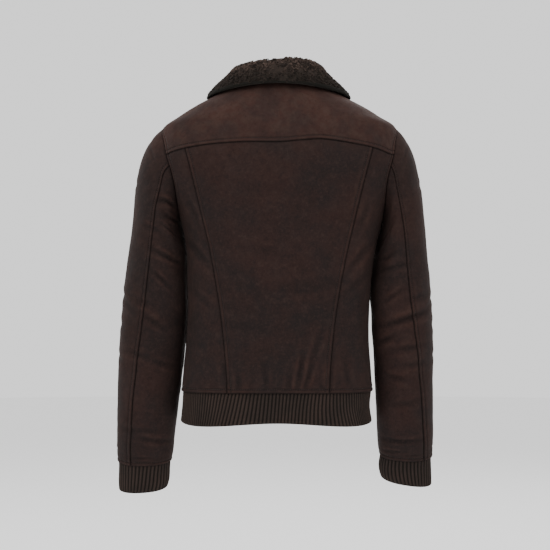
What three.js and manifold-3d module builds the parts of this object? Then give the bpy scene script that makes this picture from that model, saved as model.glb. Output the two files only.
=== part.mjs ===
// A waist-length shearling jacket, hollow, as it hangs on the shoulders of somebody who isn't there.
// Sheepskin panels with the suede side out, a turned-down collar of curly sheepskin, a ribbed hem and
// cuffs, and a zip up the front. Millimetres. +Z is up, the front faces -Y, the wearer's left is +X,
// and the origin is at the nape, where the shoulders carry the jacket.
import * as THREE from "three";
import Module from "manifold-3d";

// A table from its column names and its rows
function table(columns, ...rows) {
  return rows.map((row) => Object.fromEntries(columns.map((column, i) => [column, row[i]])));
}

// Thicknesses and gaps
const WALL = 5; // sheepskin of the body and the sleeves
const COLLAR_WALL = { seam: 8, roll: 12.5, edge: 6 }; // curly sheepskin of the collar
const RIB_WALL = 3.2; // doubled rib knit, under the ribs
const RIB_HEIGHT = 1.5; // how far a rib stands out of its band
const SEAM_INSET = 0.2; // each piece stops this short of a seam

// Rings of the body, bottom to top. side, nape and throat are the ring's height at the side, at the
// centre back and at the centre front. left, right, back and front are how far it reaches, and
// boxBack and boxFront how boxy it is, where 2 is an ellipse.
const BODY = table(
  ["side", "nape", "throat", "left", "right", "back", "front", "boxBack", "boxFront"],
  [-594, -593, -594, 182.5, 179, 109, 116, 2.6, 2.5],
  [-560, -559, -560, 180, 176.5, 110, 121, 2.6, 2.5],
  [-500, -500, -500, 174.5, 172.5, 108, 123, 2.6, 2.5],
  [-440, -440, -440, 171, 173, 106, 124, 2.6, 2.5],
  [-380, -380, -381, 172.5, 177, 108, 126, 2.7, 2.5],
  [-325, -324, -327, 174, 185, 112, 129, 2.8, 2.6],
  [-268, -266, -272, 185, 198, 118, 132, 3.0, 2.8],
  [-215, -208, -222, 201, 211, 121, 131, 3.4, 3.0],
  [-160, -146, -178, 219, 227, 119, 126, 3.6, 3.2],
  [-124, -100, -152, 220, 226, 111, 118, 3.3, 3.0],
  [-96, -67, -132, 215, 221, 100, 110, 3.0, 2.8],
  [-78, -53, -118, 189, 194, 93, 102, 2.8, 2.6],
  [-58, -39, -105, 160, 164, 85, 94, 2.6, 2.4],
  [-43, -29, -96, 133, 136, 78, 86, 2.4, 2.2],
  [-28, -20, -88, 107, 108, 70, 78, 2.2, 2.1],
  [-14, -12, -80, 82, 82, 62, 70, 2.0, 2.0],
);
const HEM_SEAM = BODY[0].side;
const ARMPIT = -268;
const SHOULDER_TIP = -96;
const NECK_SEAM = BODY[BODY.length - 1].side;

// Sections of a sleeve from armhole to cuff. Each one runs from its outer edge to its edge by the body,
// reaches depth to the back and front of y, and leans back edge down. backSeam is where the elbow
// seam runs, in degrees round the sleeve from its outer edge towards the back.
const SLEEVE_LEFT = table(
  ["at", "outerX", "outerZ", "innerX", "innerZ", "y", "depth", "lean", "backSeam"],
  [0, 215, -96, 185, -268, 0, 74, 0, 90],
  [1, 232, -111, 187, -281, 0, 76, 0, 88],
  [2, 247, -132, 186, -293, -1, 77, 0, 89],
  [3, 258, -155, 184, -307, -2, 77, 0, 87.5],
  [4, 266, -186, 181, -325, -3, 76, 1, 84],
  [5, 272, -230, 178, -350, -4, 74, 2, 81],
  [6, 278, -287, 176, -384, -6, 71, 3, 78],
  [7, 287, -352, 174.5, -423, -9, 68, 4, 76],
  [8, 295, -420, 175.5, -470, -14, 66, 6, 73.5],
  [9, 302, -490, 180, -522, -21, 63, 8, 70.5],
  [10, 306, -550, 185, -572, -29, 59, 10, 67],
  [11, 308, -612, 191, -624, -38, 54, 12, 63.5],
  [12, 310, -672, 198, -678, -47, 48, 14, 63],
  [13, 311, -708, 202, -711, -53, 44, 14, 63],
  [14, 309, -732, 206, -731, -57, 40, 14, 63],
);
const SLEEVE_RIGHT = table(
  ["at", "outerX", "outerZ", "innerX", "innerZ", "y", "depth", "lean", "backSeam"],
  [0, 221, -96, 198, -268, 0, 74, 0, 90],
  [1, 235, -110, 199, -281, 0, 76, 0, 92],
  [2, 248, -131, 197, -295, -1, 77, 0, 93],
  [3, 258, -154, 194, -311, -2, 77, 0, 91.5],
  [4, 267, -188, 190.5, -330, -3, 76, 1, 89],
  [5, 275, -236, 186, -356, -4, 74, 2, 84],
  [6, 281, -300, 180.5, -390, -6, 71, 3, 80],
  [7, 287, -361, 177.5, -428, -9, 68, 4, 77],
  [8, 292, -425, 178, -472, -14, 66, 6, 72.5],
  [9, 296, -490, 181, -522, -21, 63, 8, 67],
  [10, 298, -550, 185, -570, -29, 59, 10, 63],
  [11, 298, -610, 188, -620, -38, 54, 12, 58],
  [12, 298, -668, 191, -672, -47, 48, 14, 54],
  [13, 298, -703, 194, -703, -53, 44, 14, 52.5],
  [14, 297, -724, 197, -721, -56, 40, 14, 51],
);
const SLEEVE_END = 14;
const SLEEVE_CLEARANCE = 2.2; // a sleeve comes no nearer than this to the body
const SLEEVE_PRESS = 6; // how softly it flattens where it comes near
const ARMHOLE_FADE = 4; // sections over which the armhole's own shape gives way to the sleeve's
const FRONT_SEAM_TOP = 255; // the sleeve's other seam, on its inner front, at the armhole and the cuff
const FRONT_SEAM_END = 240;
const SLEEVE_SQUARE = 2.2;

// Rings of the cuffs, under each sleeve's last section
const CUFF_LEFT = table(
  ["at", "outerX", "outerZ", "innerX", "innerZ", "y", "depth", "lean"],
  [0, 307.5, -732.15, 207.5, -731.15, -57.04, 37, 14],
  [1, 308, -752, 209, -750, -62, 36, 14],
  [2, 309, -772, 210, -768, -66.5, 36, 14],
  [3, 308.5, -789, 214, -783, -70, 35, 14],
);
const CUFF_RIGHT = table(
  ["at", "outerX", "outerZ", "innerX", "innerZ", "y", "depth", "lean"],
  [0, 295.5, -724.15, 197.5, -721.15, -56.04, 37, 14],
  [1, 296.5, -744, 195, -738, -61, 36, 14],
  [2, 297.5, -763, 196, -753, -65, 36, 14],
  [3, 298, -779, 200, -765, -69, 35, 14],
);
const CUFF_RIBS = 42;
const CUFF_INNER_STEPS = 21;

// Rings of the ribbed hem, top to bottom
const HEM = table(
  ["side", "nape", "throat", "left", "right", "back", "front", "boxBack", "boxFront"],
  [-594.35, -593.35, -594.35, 180, 176.5, 107, 115, 2.6, 2.5],
  [-622, -621, -622, 181.5, 174, 107, 115, 2.6, 2.5],
  [-650, -648, -650, 184.5, 178, 106.5, 114, 2.6, 2.5],
);
const HEM_RIBS = 168;
const HEM_INNER_STEPS = 56;
const HEM_DIP = 6; // the hem hangs this much lower between the centre back and each side

// Seams of the body
const ARMHOLE_BACK = 35; // degrees from the side to the armhole's back edge
const ARMHOLE_FRONT = 33;
const ARMHOLE_STEP = 15; // degrees round the armhole between points
const ARMHOLE_BEND = 0.87; // under 1, the armhole is widest above its middle
const YOKE_CENTRE = -147.5; // ring on which the back yoke's seam starts, at the centre back
const YOKE_END = 75; // degrees round the armhole, where that seam ends
const SHOULDER_SEAM = -15; // the shoulder seam starts this far round, in front of the top
// how far that seam swells up, by its share of the way to the left armhole
const YOKE_LIFT = table(
  ["share", "lift"],
  [-1, 0],
  [-0.92, -0.5],
  [-0.76, 4.8],
  [-0.6, 7.6],
  [-0.35, 8.4],
  [-0.19, 4],
  [0, 0],
  [0.36, 3.7],
  [0.56, 5.5],
  [0.81, 4],
  [1, 0],
);
const SLANT = { top: 170, bottom: 94, bend: 1.64, leftShift: 1, rightShift: 4 }; // the slanting back
// seams' distance from the middle at the yoke and at the hem, and how far each moves out at the top

// The collar, from the centre back to its front end. It leaves the neck seam at angle, stands up and
// leans out, and folds over. Halfway down, it lies belly off the body, and its edge lies clearance off
// the point of the body at edgeAngle and edgeRing.
const COLLAR = table(
  ["angle", "standing", "lean", "fold", "belly", "edgeAngle", "edgeRing", "clearance"],
  [0, 29, 2, 5.5, 17, 0, -37, 9],
  [30, 28, 1, 5.5, 16, 29, -37.5, 8],
  [60, 23, -4, 5, 10, 58, -39, 5],
  [90, 15, -8, 4.5, 6, 90, -43, 2.5],
  [120, 15, -2, 5, 8, 118, -46, 3.5],
  [145, 14, 4, 5.5, 9, 141, -84, 4],
  [162, 12, 6, 5.5, 9, 154, -124, 4],
  [171, 10, 7, 5.5, 9, 159, -142, 4],
);
const COLLAR_STEPS = 13; // steps from the neck seam over the fold to the collar's edge
const COLLAR_ROUNDED = 0.6; // from here on the wool rounds down to the edge
const COLLAR_TILT = 7.5; // the collar stands higher on the right of the back than on the left

// The zip
const ZIP_HALF_OPENING = 5.5; // from the centre to the edge of each front
const ZIP_DEPTH = 6.4; // the tapes lie this far behind the fronts' outer face
const ZIP_TAPE = { width: 15, thickness: 1 };
const ZIP_TEETH = { gap: 0.2, width: 3, proud: 0.9, parting: 1.9 };
const SLIDER = { width: 9, length: 12, plate: 1.2, post: 2, postLength: 3, clearance: 0.6, ring: -19 };
const BRIDGE = { width: 2.4, length: 6, height: 3.6, bar: 1.2 };
const PULL = { width: 6.5, length: 28, thickness: 1.4, bar: 1.4, eyeWidth: 3.4, eyeLength: 5.5 };

// Triangles that close an end of the zip's L-shaped halves
const ZIP_CAP = [
  [0, 1, 2],
  [0, 2, 5],
  [0, 5, 7],
  [5, 6, 7],
  [2, 3, 4],
  [2, 4, 5],
];

const radians = THREE.MathUtils.degToRad;
const degrees = THREE.MathUtils.radToDeg;
const { lerp, clamp, smoothstep } = THREE.MathUtils;

// Every column of a table at a place between its rows, on a smooth curve through them
function rowAt(rows, key, place) {
  const rising = rows[rows.length - 1][key] > rows[0][key];
  let i = 0;
  while (i < rows.length - 2 && (rising ? place > rows[i + 1][key] : place < rows[i + 1][key])) {
    i += 1;
  }
  const [a, b] = [rows[i], rows[i + 1]];
  const before = rows[Math.max(i - 1, 0)];
  const after = rows[Math.min(i + 2, rows.length - 1)];
  const span = b[key] - a[key];
  const f = (place - a[key]) / span;
  const row = {};
  for (const column of Object.keys(a)) {
    const slopeA = ((b[column] - before[column]) / (b[key] - before[key])) * span;
    const slopeB = ((after[column] - a[column]) / (after[key] - a[key])) * span;
    const rise = b[column] - a[column];
    row[column] =
      a[column] + f * (slopeA + f * (3 * rise - 2 * slopeA - slopeB + f * (slopeA + slopeB - 2 * rise)));
  }
  return row;
}

function halfRing(ring, atBack) {
  return atBack
    ? { depth: ring.back, square: ring.boxBack, endHeight: ring.nape }
    : { depth: ring.front, square: ring.boxFront, endHeight: ring.throat };
}

// A point on a boxy ring: angle is in degrees from the centre back towards the wearer's left
function ringPoint(ring, angle) {
  const sine = Math.sin(radians(angle));
  const cosine = Math.cos(radians(angle));
  const { depth, square, endHeight } = halfRing(ring, cosine >= 0);
  const reach = (Math.abs(sine) ** square + Math.abs(cosine) ** square) ** (-1 / square);
  const width = sine >= 0 ? ring.left : ring.right;
  const height = ring.side + (endHeight - ring.side) * cosine ** 4;
  return new THREE.Vector3(width * reach * sine, depth * reach * cosine, height);
}

// The angle at which a ring is x away from the middle, on its back or front half
function angleForX(ring, x, onFront) {
  const square = onFront ? ring.boxFront : ring.boxBack;
  const share = Math.abs(x) / (x >= 0 ? ring.left : ring.right);
  const angle = degrees(Math.atan(share / (1 - share ** square) ** (1 / square)));
  return Math.sign(x) * (onFront ? 180 - angle : angle);
}

// Soft folds of the body: x and z of the middle, how long and wide, the direction in degrees from
// level, and how deep, on the back or the front
const BODY_FOLDS = table(
  ["x", "z", "back", "long", "wide", "turn", "deep"],
  [60, -568, true, 60, 16, 80, 2.6],
  [-64, -560, true, 70, 18, 100, -2.8],
  [-92, -575, true, 50, 13, 84, 2.8],
  [118, -566, true, 60, 16, 72, -2.4],
  [150, -300, true, 80, 18, 62, -2.6],
  [-158, -306, true, 80, 18, 118, -2.6],
  [0, -430, true, 150, 60, 0, -3],
  [-95, -560, false, 60, 16, 98, 2.6],
  [70, -565, false, 60, 16, 84, 2.6],
  [130, -300, false, 80, 18, 60, -2.8],
  [-135, -305, false, 80, 18, 120, -2.8],
);

const FOLD_FADE = 30; // folds fade out over this much towards the side seams, and half of it at the hem

function foldDepth(fold, across, up) {
  const [c, s] = [Math.cos(radians(fold.turn)), Math.sin(radians(fold.turn))];
  const along = (across * c + up * s) / fold.long;
  const aside = (up * c - across * s) / fold.wide;
  return fold.deep * Math.exp(-(along * along + aside * aside));
}

function plainBody(angle, ring) {
  return ringPoint(rowAt(BODY, "side", ring), angle);
}

// The outward direction of a surface given by a function of two places
function normalOf(surface, u, v, stepU, stepV) {
  const alongU = surface(u + stepU, v).sub(surface(u - stepU, v));
  const alongV = surface(u, v + stepV).sub(surface(u, v - stepV));
  return alongV.cross(alongU).normalize();
}

function bodyNormal(angle, ring) {
  const place = Math.min(ring, NECK_SEAM - 0.5);
  return normalOf(plainBody, angle, place, 0.5, 0.5);
}

function bodyPoint(angle, ring) {
  const point = plainBody(angle, ring);
  let depth = 0;
  for (const fold of BODY_FOLDS) {
    if (fold.back === point.y >= 0) {
      depth += foldDepth(fold, point.x - fold.x, point.z - fold.z);
    }
  }
  const fromHem = smoothstep(ring, HEM_SEAM, HEM_SEAM + FOLD_FADE / 2);
  const steady = smoothstep(Math.abs(point.y), 0, FOLD_FADE) * fromHem;
  return point.addScaledVector(bodyNormal(angle, ring), depth * steady);
}

// Where a point of the armhole lies on the body: round is in degrees from the shoulder tip, backwards
function armholePlace(sign, round) {
  const back = Math.sin(radians(round));
  const ring = lerp(ARMPIT, SHOULDER_TIP, ((1 + Math.cos(radians(round))) / 2) ** ARMHOLE_BEND);
  const angle = 90 - (back > 0 ? ARMHOLE_BACK : ARMHOLE_FRONT) * back;
  return { angle: sign * angle, ring };
}

// A sleeve's section as a ring: round is in degrees from its outer edge towards the back
function sectionPoint(section, sign, round) {
  const sine = Math.sin(radians(round));
  const cosine = Math.cos(radians(round));
  const reach = (Math.abs(sine) ** SLEEVE_SQUARE + Math.abs(cosine) ** SLEEVE_SQUARE) ** (-1 / SLEEVE_SQUARE);
  const [across, backwards] = [reach * cosine, reach * sine * section.depth];
  const lean = radians(section.lean);
  const outwards = (1 + across) / 2;
  return new THREE.Vector3(
    sign * lerp(section.innerX, section.outerX, outwards),
    section.y + backwards * Math.cos(lean),
    lerp(section.innerZ, section.outerZ, outwards) - backwards * Math.sin(lean),
  );
}

// How far from the middle the body's side is, at a distance y back and a height
function bodyReach(sign, y, height) {
  let ring = height;
  let reach = 0;
  for (let k = 0; k < 5; k += 1) {
    const row = rowAt(BODY, "side", Math.min(Math.max(ring, HEM_SEAM), NECK_SEAM));
    const { depth, square, endHeight } = halfRing(row, y >= 0);
    const share = Math.min(Math.abs(y) / depth, 1);
    const across = (1 - share ** square) ** (1 / square);
    ring = height - (endHeight - row.side) * (share * share / (share * share + across * across)) ** 2;
    reach = (sign > 0 ? row.left : row.right) * across;
  }
  return reach;
}

// Soft folds of the sleeves: at is the section and round the place round it, in degrees. side is 1
// for the left sleeve, -1 for the right one and 0 for both. The last four bring a sleeve's inner
// front close to the body, as an arm that hangs a little forward does.
const SLEEVE_FOLDS = table(
  ["side", "at", "round", "long", "wide", "slope", "deep"],
  [0, 3.2, 120, 60, 1.0, 0.012, -3.5],
  [0, 4.4, 150, 50, 0.6, 0.01, 3],
  [0, 5.3, 135, 55, 0.6, 0.012, -3],
  [0, 7.3, 110, 50, 0.45, -0.01, -2.6],
  [0, 8.1, 130, 60, 0.4, -0.008, -3],
  [0, 8.9, 120, 50, 0.4, 0.006, -2.4],
  [0, 9.8, 90, 60, 0.4, -0.006, -2],
  [0, 7.6, 250, 45, 0.35, 0.008, -4],
  [0, 8.4, 265, 55, 0.35, -0.006, -4.5],
  [0, 9.2, 250, 45, 0.35, 0.006, -3.5],
  [0, 4.2, 240, 45, 0.8, -0.012, -3.5],
  [0, 12.6, 100, 80, 0.5, 0.004, 1.8],
  [1, 3, 215, 42, 2.6, 0, 12],
  [1, 7.3, 215, 42, 2.2, 0, 13.5],
  [-1, 2.8, 208, 25, 2.6, 0, 12],
  [-1, 5.9, 208, 25, 1.5, 0, 9],
);

function plainSleeve(side, round, at) {
  const section = rowAt(side.table, "at", Math.max(at, 0));
  const point = sectionPoint(section, side.sign, round);
  const left = 1 - smoothstep(at, 0, ARMHOLE_FADE);
  if (left > 0) {
    const place = armholePlace(side.sign, round);
    const armhole = plainBody(place.angle, place.ring);
    point.add(armhole.sub(sectionPoint(side.table[0], side.sign, round)).multiplyScalar(left));
  }
  return point;
}

function sleeveNormal(side, round, at) {
  const place = clamp(at, 0.05, SLEEVE_END - 0.05);
  const surface = (u, v) => plainSleeve(side, u, v);
  return normalOf(surface, round, place, 1, 0.05).multiplyScalar(side.sign);
}

function sleevePoint(side, round, at) {
  const point = plainSleeve(side, round, at);
  let depth = 0;
  for (const fold of SLEEVE_FOLDS.filter((row) => row.side === 0 || row.side === side.sign)) {
    const turn = ((round - fold.round + 540) % 360) - 180;
    const aside = (at - fold.at - fold.slope * turn) / fold.wide;
    depth += fold.deep * Math.exp(-((turn / fold.long) ** 2) - aside * aside);
  }
  const steady = smoothstep(at, 0, 1.5) * (1 - smoothstep(at, SLEEVE_END - 0.8, SLEEVE_END));
  point.addScaledVector(sleeveNormal(side, round, at), depth * steady);
  const away = Math.abs(point.x) - bodyReach(side.sign, point.y, point.z) - SLEEVE_CLEARANCE;
  const pushed = (Math.hypot(away, SLEEVE_PRESS) - away) / 2;
  point.x += side.sign * pushed * smoothstep(at, 0, 0.7);
  return point;
}

// Both sides of the armhole seam are cut along this direction, halfway between the two surfaces'
function armholeMitre(side, round) {
  const place = armholePlace(side.sign, round);
  return bodyNormal(place.angle, place.ring).add(sleeveNormal(side, round, 0)).normalize();
}

// Moves the edge points of a grid into it, along the cloth, so that it stops short of its seams
function insetEdges(points, normals, closed) {
  const [rows, columns] = [points.length, points[0].length];
  const moves = [];
  const move = (i, j, towards, before, after) => {
    const along = after.clone().sub(before).normalize();
    const inward = towards.clone().sub(points[i][j]);
    inward.addScaledVector(along, -inward.dot(along));
    inward.addScaledVector(normals[i][j], -inward.dot(normals[i][j])).normalize();
    moves.push([points[i][j], inward.multiplyScalar(SEAM_INSET)]);
  };
  for (let i = 0; i < rows && !closed; i += 1) {
    const [low, high] = [Math.max(i - 1, 0), Math.min(i + 1, rows - 1)];
    move(i, 0, points[i][1], points[low][0], points[high][0]);
    move(i, columns - 1, points[i][columns - 2], points[low][columns - 1], points[high][columns - 1]);
  }
  for (let j = 0; j < columns; j += 1) {
    const low = closed ? (j + columns - 1) % columns : Math.max(j - 1, 0);
    const high = closed ? (j + 1) % columns : Math.min(j + 1, columns - 1);
    move(0, j, points[1][j], points[0][low], points[0][high]);
    move(rows - 1, j, points[rows - 2][j], points[rows - 1][low], points[rows - 1][high]);
  }
  for (const [point, step] of moves) {
    point.add(step);
  }
}

// A closed geometry from vertices and triangles, turned so that its faces point out
function geometryOf(vertices, triangles) {
  let volume = 0;
  for (let k = 0; k < triangles.length; k += 3) {
    const [a, b, c] = [vertices[triangles[k]], vertices[triangles[k + 1]], vertices[triangles[k + 2]]];
    volume += a.dot(b.clone().cross(c));
  }
  if (volume < 0) {
    for (let k = 0; k < triangles.length; k += 3) {
      [triangles[k], triangles[k + 1]] = [triangles[k + 1], triangles[k]];
    }
  }
  const geometry = new THREE.BufferGeometry().setFromPoints(vertices);
  geometry.setIndex(triangles);
  geometry.computeVertexNormals();
  return geometry;
}

// A wall from its outer grid, with its inner face behind along the normals, a thickness for each row
function wallGeometry(points, normals, thicknesses) {
  const [rows, columns] = [points.length, points[0].length];
  const outer = points.flat();
  const behind = (p, i, j) => p.clone().addScaledVector(normals[i][j], -thicknesses[i]);
  const inner = points.flatMap((row, i) => row.map((p, j) => behind(p, i, j)));
  const at = (i, j, back) => i * columns + j + (back ? outer.length : 0);
  const triangles = [];
  const quad = (a, b, c, d) => triangles.push(a, b, c, a, c, d);
  for (let i = 0; i < rows - 1; i += 1) {
    for (let j = 0; j < columns - 1; j += 1) {
      quad(at(i, j), at(i, j + 1), at(i + 1, j + 1), at(i + 1, j));
      quad(at(i, j, true), at(i + 1, j, true), at(i + 1, j + 1, true), at(i, j + 1, true));
    }
    quad(at(i, 0), at(i + 1, 0), at(i + 1, 0, true), at(i, 0, true));
    quad(at(i, columns - 1), at(i, columns - 1, true), at(i + 1, columns - 1, true), at(i + 1, columns - 1));
  }
  for (let j = 0; j < columns - 1; j += 1) {
    quad(at(0, j), at(0, j, true), at(0, j + 1, true), at(0, j + 1));
    quad(at(rows - 1, j), at(rows - 1, j + 1), at(rows - 1, j + 1, true), at(rows - 1, j, true));
  }
  return geometryOf([...outer, ...inner], triangles);
}

// A ribbed band: its outer grid has many columns, its plain inner grid one for every few of them
function ribbedGeometry(outerRows, innerRows, closed) {
  const rows = outerRows.length;
  const [many, few] = [outerRows[0].length, innerRows[0].length];
  const [outerSteps, innerSteps] = closed ? [many, few] : [many - 1, few - 1];
  const ratio = outerSteps / innerSteps;
  const outer = (i, j) => i * many + (j % many);
  const inner = (i, j) => rows * many + i * few + (j % few);
  const triangles = [];
  const quad = (a, b, c, d) => triangles.push(a, b, c, a, c, d);
  for (let i = 0; i < rows - 1; i += 1) {
    for (let j = 0; j < outerSteps; j += 1) {
      quad(outer(i, j), outer(i, j + 1), outer(i + 1, j + 1), outer(i + 1, j));
    }
    for (let j = 0; j < innerSteps; j += 1) {
      quad(inner(i, j), inner(i + 1, j), inner(i + 1, j + 1), inner(i, j + 1));
    }
  }
  const rim = (i, flip) => {
    const add = (a, b, c) => triangles.push(a, flip ? c : b, flip ? b : c);
    for (let j = 0; j < innerSteps; j += 1) {
      const first = j * ratio;
      const middle = first + ratio / 2;
      for (let k = first; k < first + ratio; k += 1) {
        add(outer(i, k + 1), outer(i, k), k < middle ? inner(i, j) : inner(i, j + 1));
      }
      add(outer(i, middle), inner(i, j), inner(i, j + 1));
    }
  };
  rim(0, false);
  rim(rows - 1, true);
  if (!closed) {
    for (let i = 0; i < rows - 1; i += 1) {
      const [o, n] = [outerSteps, innerSteps];
      quad(outer(i, 0), outer(i + 1, 0), inner(i + 1, 0), inner(i, 0));
      quad(outer(i, o), inner(i, n), inner(i + 1, n), outer(i + 1, o));
    }
  }
  return geometryOf([...outerRows.flat(), ...innerRows.flat()], triangles);
}

const suede = new THREE.MeshStandardMaterial({ color: 0x33231f, roughness: 0.9, metalness: 0 });
const wool = new THREE.MeshStandardMaterial({ color: 0x38302c, roughness: 1, metalness: 0 });
const knit = new THREE.MeshStandardMaterial({ color: 0x332a26, roughness: 0.95, metalness: 0 });
const tape = new THREE.MeshStandardMaterial({ color: 0x241a17, roughness: 0.9, metalness: 0 });
const metal = new THREE.MeshStandardMaterial({ color: 0x6b5a45, roughness: 0.4, metalness: 0.9 });

const jacket = new THREE.Group();
jacket.name = "shearling_jacket";

function addPiece(name, geometry, material) {
  const mesh = new THREE.Mesh(geometry, material);
  mesh.name = name;
  jacket.add(mesh);
  return mesh;
}

function steps(from, to, count) {
  return Array.from({ length: count + 1 }, (_, k) => lerp(from, to, k / count));
}

// Rows of the body panels. Each row is where its ends lie: on the side seam, then on the armhole, and
// for the yoke and the fronts on along the shoulder seam to the neck.
const SIDE_ROWS = 11;
const SHOULDER_ROWS = 6;
const sideSeam = steps(HEM_SEAM, ARMPIT, SIDE_ROWS).slice(0, -1);

function sideSeamPlaces(sign) {
  return sideSeam.map((ring) => ({ angle: sign * 90, ring }));
}

function armholePlaces(sign, from, to) {
  const count = Math.round(Math.abs(to - from) / ARMHOLE_STEP);
  return steps(from, to, count).map((round) => ({ ...armholePlace(sign, round), round }));
}

function shoulderPlaces(sign) {
  const start = armholePlace(sign, SHOULDER_SEAM);
  return steps(start.ring, NECK_SEAM, SHOULDER_ROWS)
    .slice(1)
    .map((ring) => ({ angle: start.angle, ring }));
}

const yokeEnd = armholePlace(1, YOKE_END);

// The ring that the yoke's seam crosses, falling towards the armholes
function yokeRing(angle) {
  const share = clamp(angle / yokeEnd.angle, -1, 1);
  return lerp(YOKE_CENTRE, yokeEnd.ring, Math.abs(share) ** 1.5) + rowAt(YOKE_LIFT, "share", share).lift;
}

// How far a slanting back seam is from the middle, at a ring
function slantX(sign, ring) {
  const share = clamp((ring - HEM_SEAM) / (YOKE_CENTRE - HEM_SEAM), 0, 1);
  const shift = sign > 0 ? SLANT.leftShift : SLANT.rightShift;
  return sign * (SLANT.bottom + (SLANT.top - SLANT.bottom) * share ** SLANT.bend + shift * share);
}

// A panel whose rows all climb the same share of the way from the hem to the yoke's seam
function backRing(angle, share) {
  return HEM_SEAM + (yokeRing(angle) - HEM_SEAM) * share;
}

function slantPlace(sign, share) {
  let angle = sign * 50;
  for (let k = 0; k < 12; k += 1) {
    const ring = backRing(angle, share);
    angle = angleForX(rowAt(BODY, "side", ring), slantX(sign, ring), false);
  }
  return angle;
}

const backEdge = (sign) => [...sideSeamPlaces(sign), ...armholePlaces(sign, 180, YOKE_END)];
const backShares = backEdge(1).map((place) => (place.ring - HEM_SEAM) / (yokeEnd.ring - HEM_SEAM));

const LEFT = { name: "left", sign: 1, table: SLEEVE_LEFT, cuff: CUFF_LEFT };
const RIGHT = { name: "right", sign: -1, table: SLEEVE_RIGHT, cuff: CUFF_RIGHT };

// A body panel from the places of its points. Points of the armhole carry round, and are mitred.
function bodyPanel(name, places) {
  const points = places.map((row) => row.map((place) => bodyPoint(place.angle, place.ring)));
  const normals = places.map((row) =>
    row.map((place) =>
      place.round === undefined
        ? bodyNormal(place.angle, place.ring)
        : armholeMitre(place.angle > 0 ? LEFT : RIGHT, place.round),
    ),
  );
  insetEdges(points, normals, false);
  return addPiece(name, wallGeometry(points, normals, places.map(() => WALL)), suede);
}

const CENTRE_COLUMNS = 12;
const SIDE_COLUMNS = 5;
const FRONT_COLUMNS = 9;
const COLLAR_FRONT_COLUMNS = 8; // the collar stops this many of the front's columns round

function backCentre() {
  return backShares.map((share) => {
    const [right, left] = [slantPlace(-1, share), slantPlace(1, share)];
    return steps(right, left, CENTRE_COLUMNS).map((angle) => ({ angle, ring: backRing(angle, share) }));
  });
}

function backSide(sign) {
  const edge = backEdge(sign);
  return backShares.map((share, i) => {
    const angles = steps(slantPlace(sign, share), edge[i].angle, SIDE_COLUMNS);
    return angles.map((angle, j) => (j === SIDE_COLUMNS ? edge[i] : { angle, ring: backRing(angle, share) }));
  });
}

// The yoke's columns carry on those of the three panels under it
function yokeShares() {
  const top = backShares.length - 1;
  const [right, centre, left] = [backSide(-1)[top], backCentre()[top], backSide(1)[top]];
  const angles = [...right.slice(1).reverse(), ...centre, ...left.slice(1)].map((place) => place.angle);
  return angles.map((angle) => angle / yokeEnd.angle);
}

function yoke() {
  const edge = [...armholePlaces(1, YOKE_END, SHOULDER_SEAM), ...shoulderPlaces(1)];
  const armholeRows = edge.length - 1 - SHOULDER_ROWS;
  const shoulderCentre = -82; // the ring at the centre back level with the shoulder seam's start
  const centreRings = [
    ...steps(YOKE_CENTRE, shoulderCentre, armholeRows),
    ...steps(shoulderCentre, NECK_SEAM, SHOULDER_ROWS).slice(1),
  ];
  return edge.map((place, i) =>
    yokeShares().map((share) => {
      const lift = rowAt(YOKE_LIFT, "share", share).lift * (1 - i / (edge.length - 1));
      const ring = lerp(centreRings[i], place.ring, Math.abs(share) ** 1.5) + lift;
      const made = { angle: share * place.angle, ring };
      return Math.abs(share) > 0.999 && place.round !== undefined ? { ...made, round: place.round } : made;
    }),
  );
}

function front(sign) {
  const armhole = armholePlaces(sign, 180, 360 + SHOULDER_SEAM);
  const shoulder = shoulderPlaces(sign);
  const edge = [...sideSeamPlaces(sign), ...armhole, ...shoulder];
  const shoulderCentre = -92; // the ring at the zip level with the shoulder seam's start
  const zipRings = [
    ...sideSeam,
    ...steps(ARMPIT, shoulderCentre, armhole.length - 1),
    ...steps(shoulderCentre, NECK_SEAM, SHOULDER_ROWS).slice(1),
  ];
  return edge.map((place, i) => {
    const zip = angleForX(rowAt(BODY, "side", zipRings[i]), sign * ZIP_HALF_OPENING, true);
    return steps(0, 1, FRONT_COLUMNS).map((share, j) => {
      if (j === 0) return place;
      const ring = lerp(place.ring, zipRings[i], smoothstep(share, 0, 1));
      return { angle: lerp(place.angle, zip, share), ring };
    });
  });
}

bodyPanel("back_centre", backCentre());
bodyPanel("back_side_left", backSide(1));
bodyPanel("back_side_right", backSide(-1));
bodyPanel("back_yoke", yoke());
bodyPanel("front_left", front(1));
bodyPanel("front_right", front(-1));

// Sleeves: a top sleeve over the outside and an under sleeve by the body, sewn at the elbow seam
const SLEEVE_ROWS = [
  ...[0, 0.6, 1.3, 2, 2.7, 3.4, 4.2, 5, 5.7, 6.4, 7],
  ...[7.5, 8, 8.5, 9, 9.6, 10.4, 11.2, 12, 12.8, 13.4, 14],
];
const TOP_COLUMNS = 13;
const UNDER_COLUMNS = 11;

function sleevePanel(name, side, columns, fromTo) {
  const places = SLEEVE_ROWS.map((at) => steps(...fromTo(at), columns).map((round) => ({ round, at })));
  const points = places.map((row) => row.map(({ round, at }) => sleevePoint(side, round, at)));
  const normals = places.map((row) =>
    row.map(({ round, at }) => (at === 0 ? armholeMitre(side, round) : sleeveNormal(side, round, at))),
  );
  insetEdges(points, normals, false);
  return addPiece(name, wallGeometry(points, normals, SLEEVE_ROWS.map(() => WALL)), suede);
}

function sleeveSeams(side, at) {
  const back = rowAt(side.table, "at", at).backSeam;
  return [back, lerp(FRONT_SEAM_TOP, FRONT_SEAM_END, smoothstep(at, 0, SLEEVE_END))];
}

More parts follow.
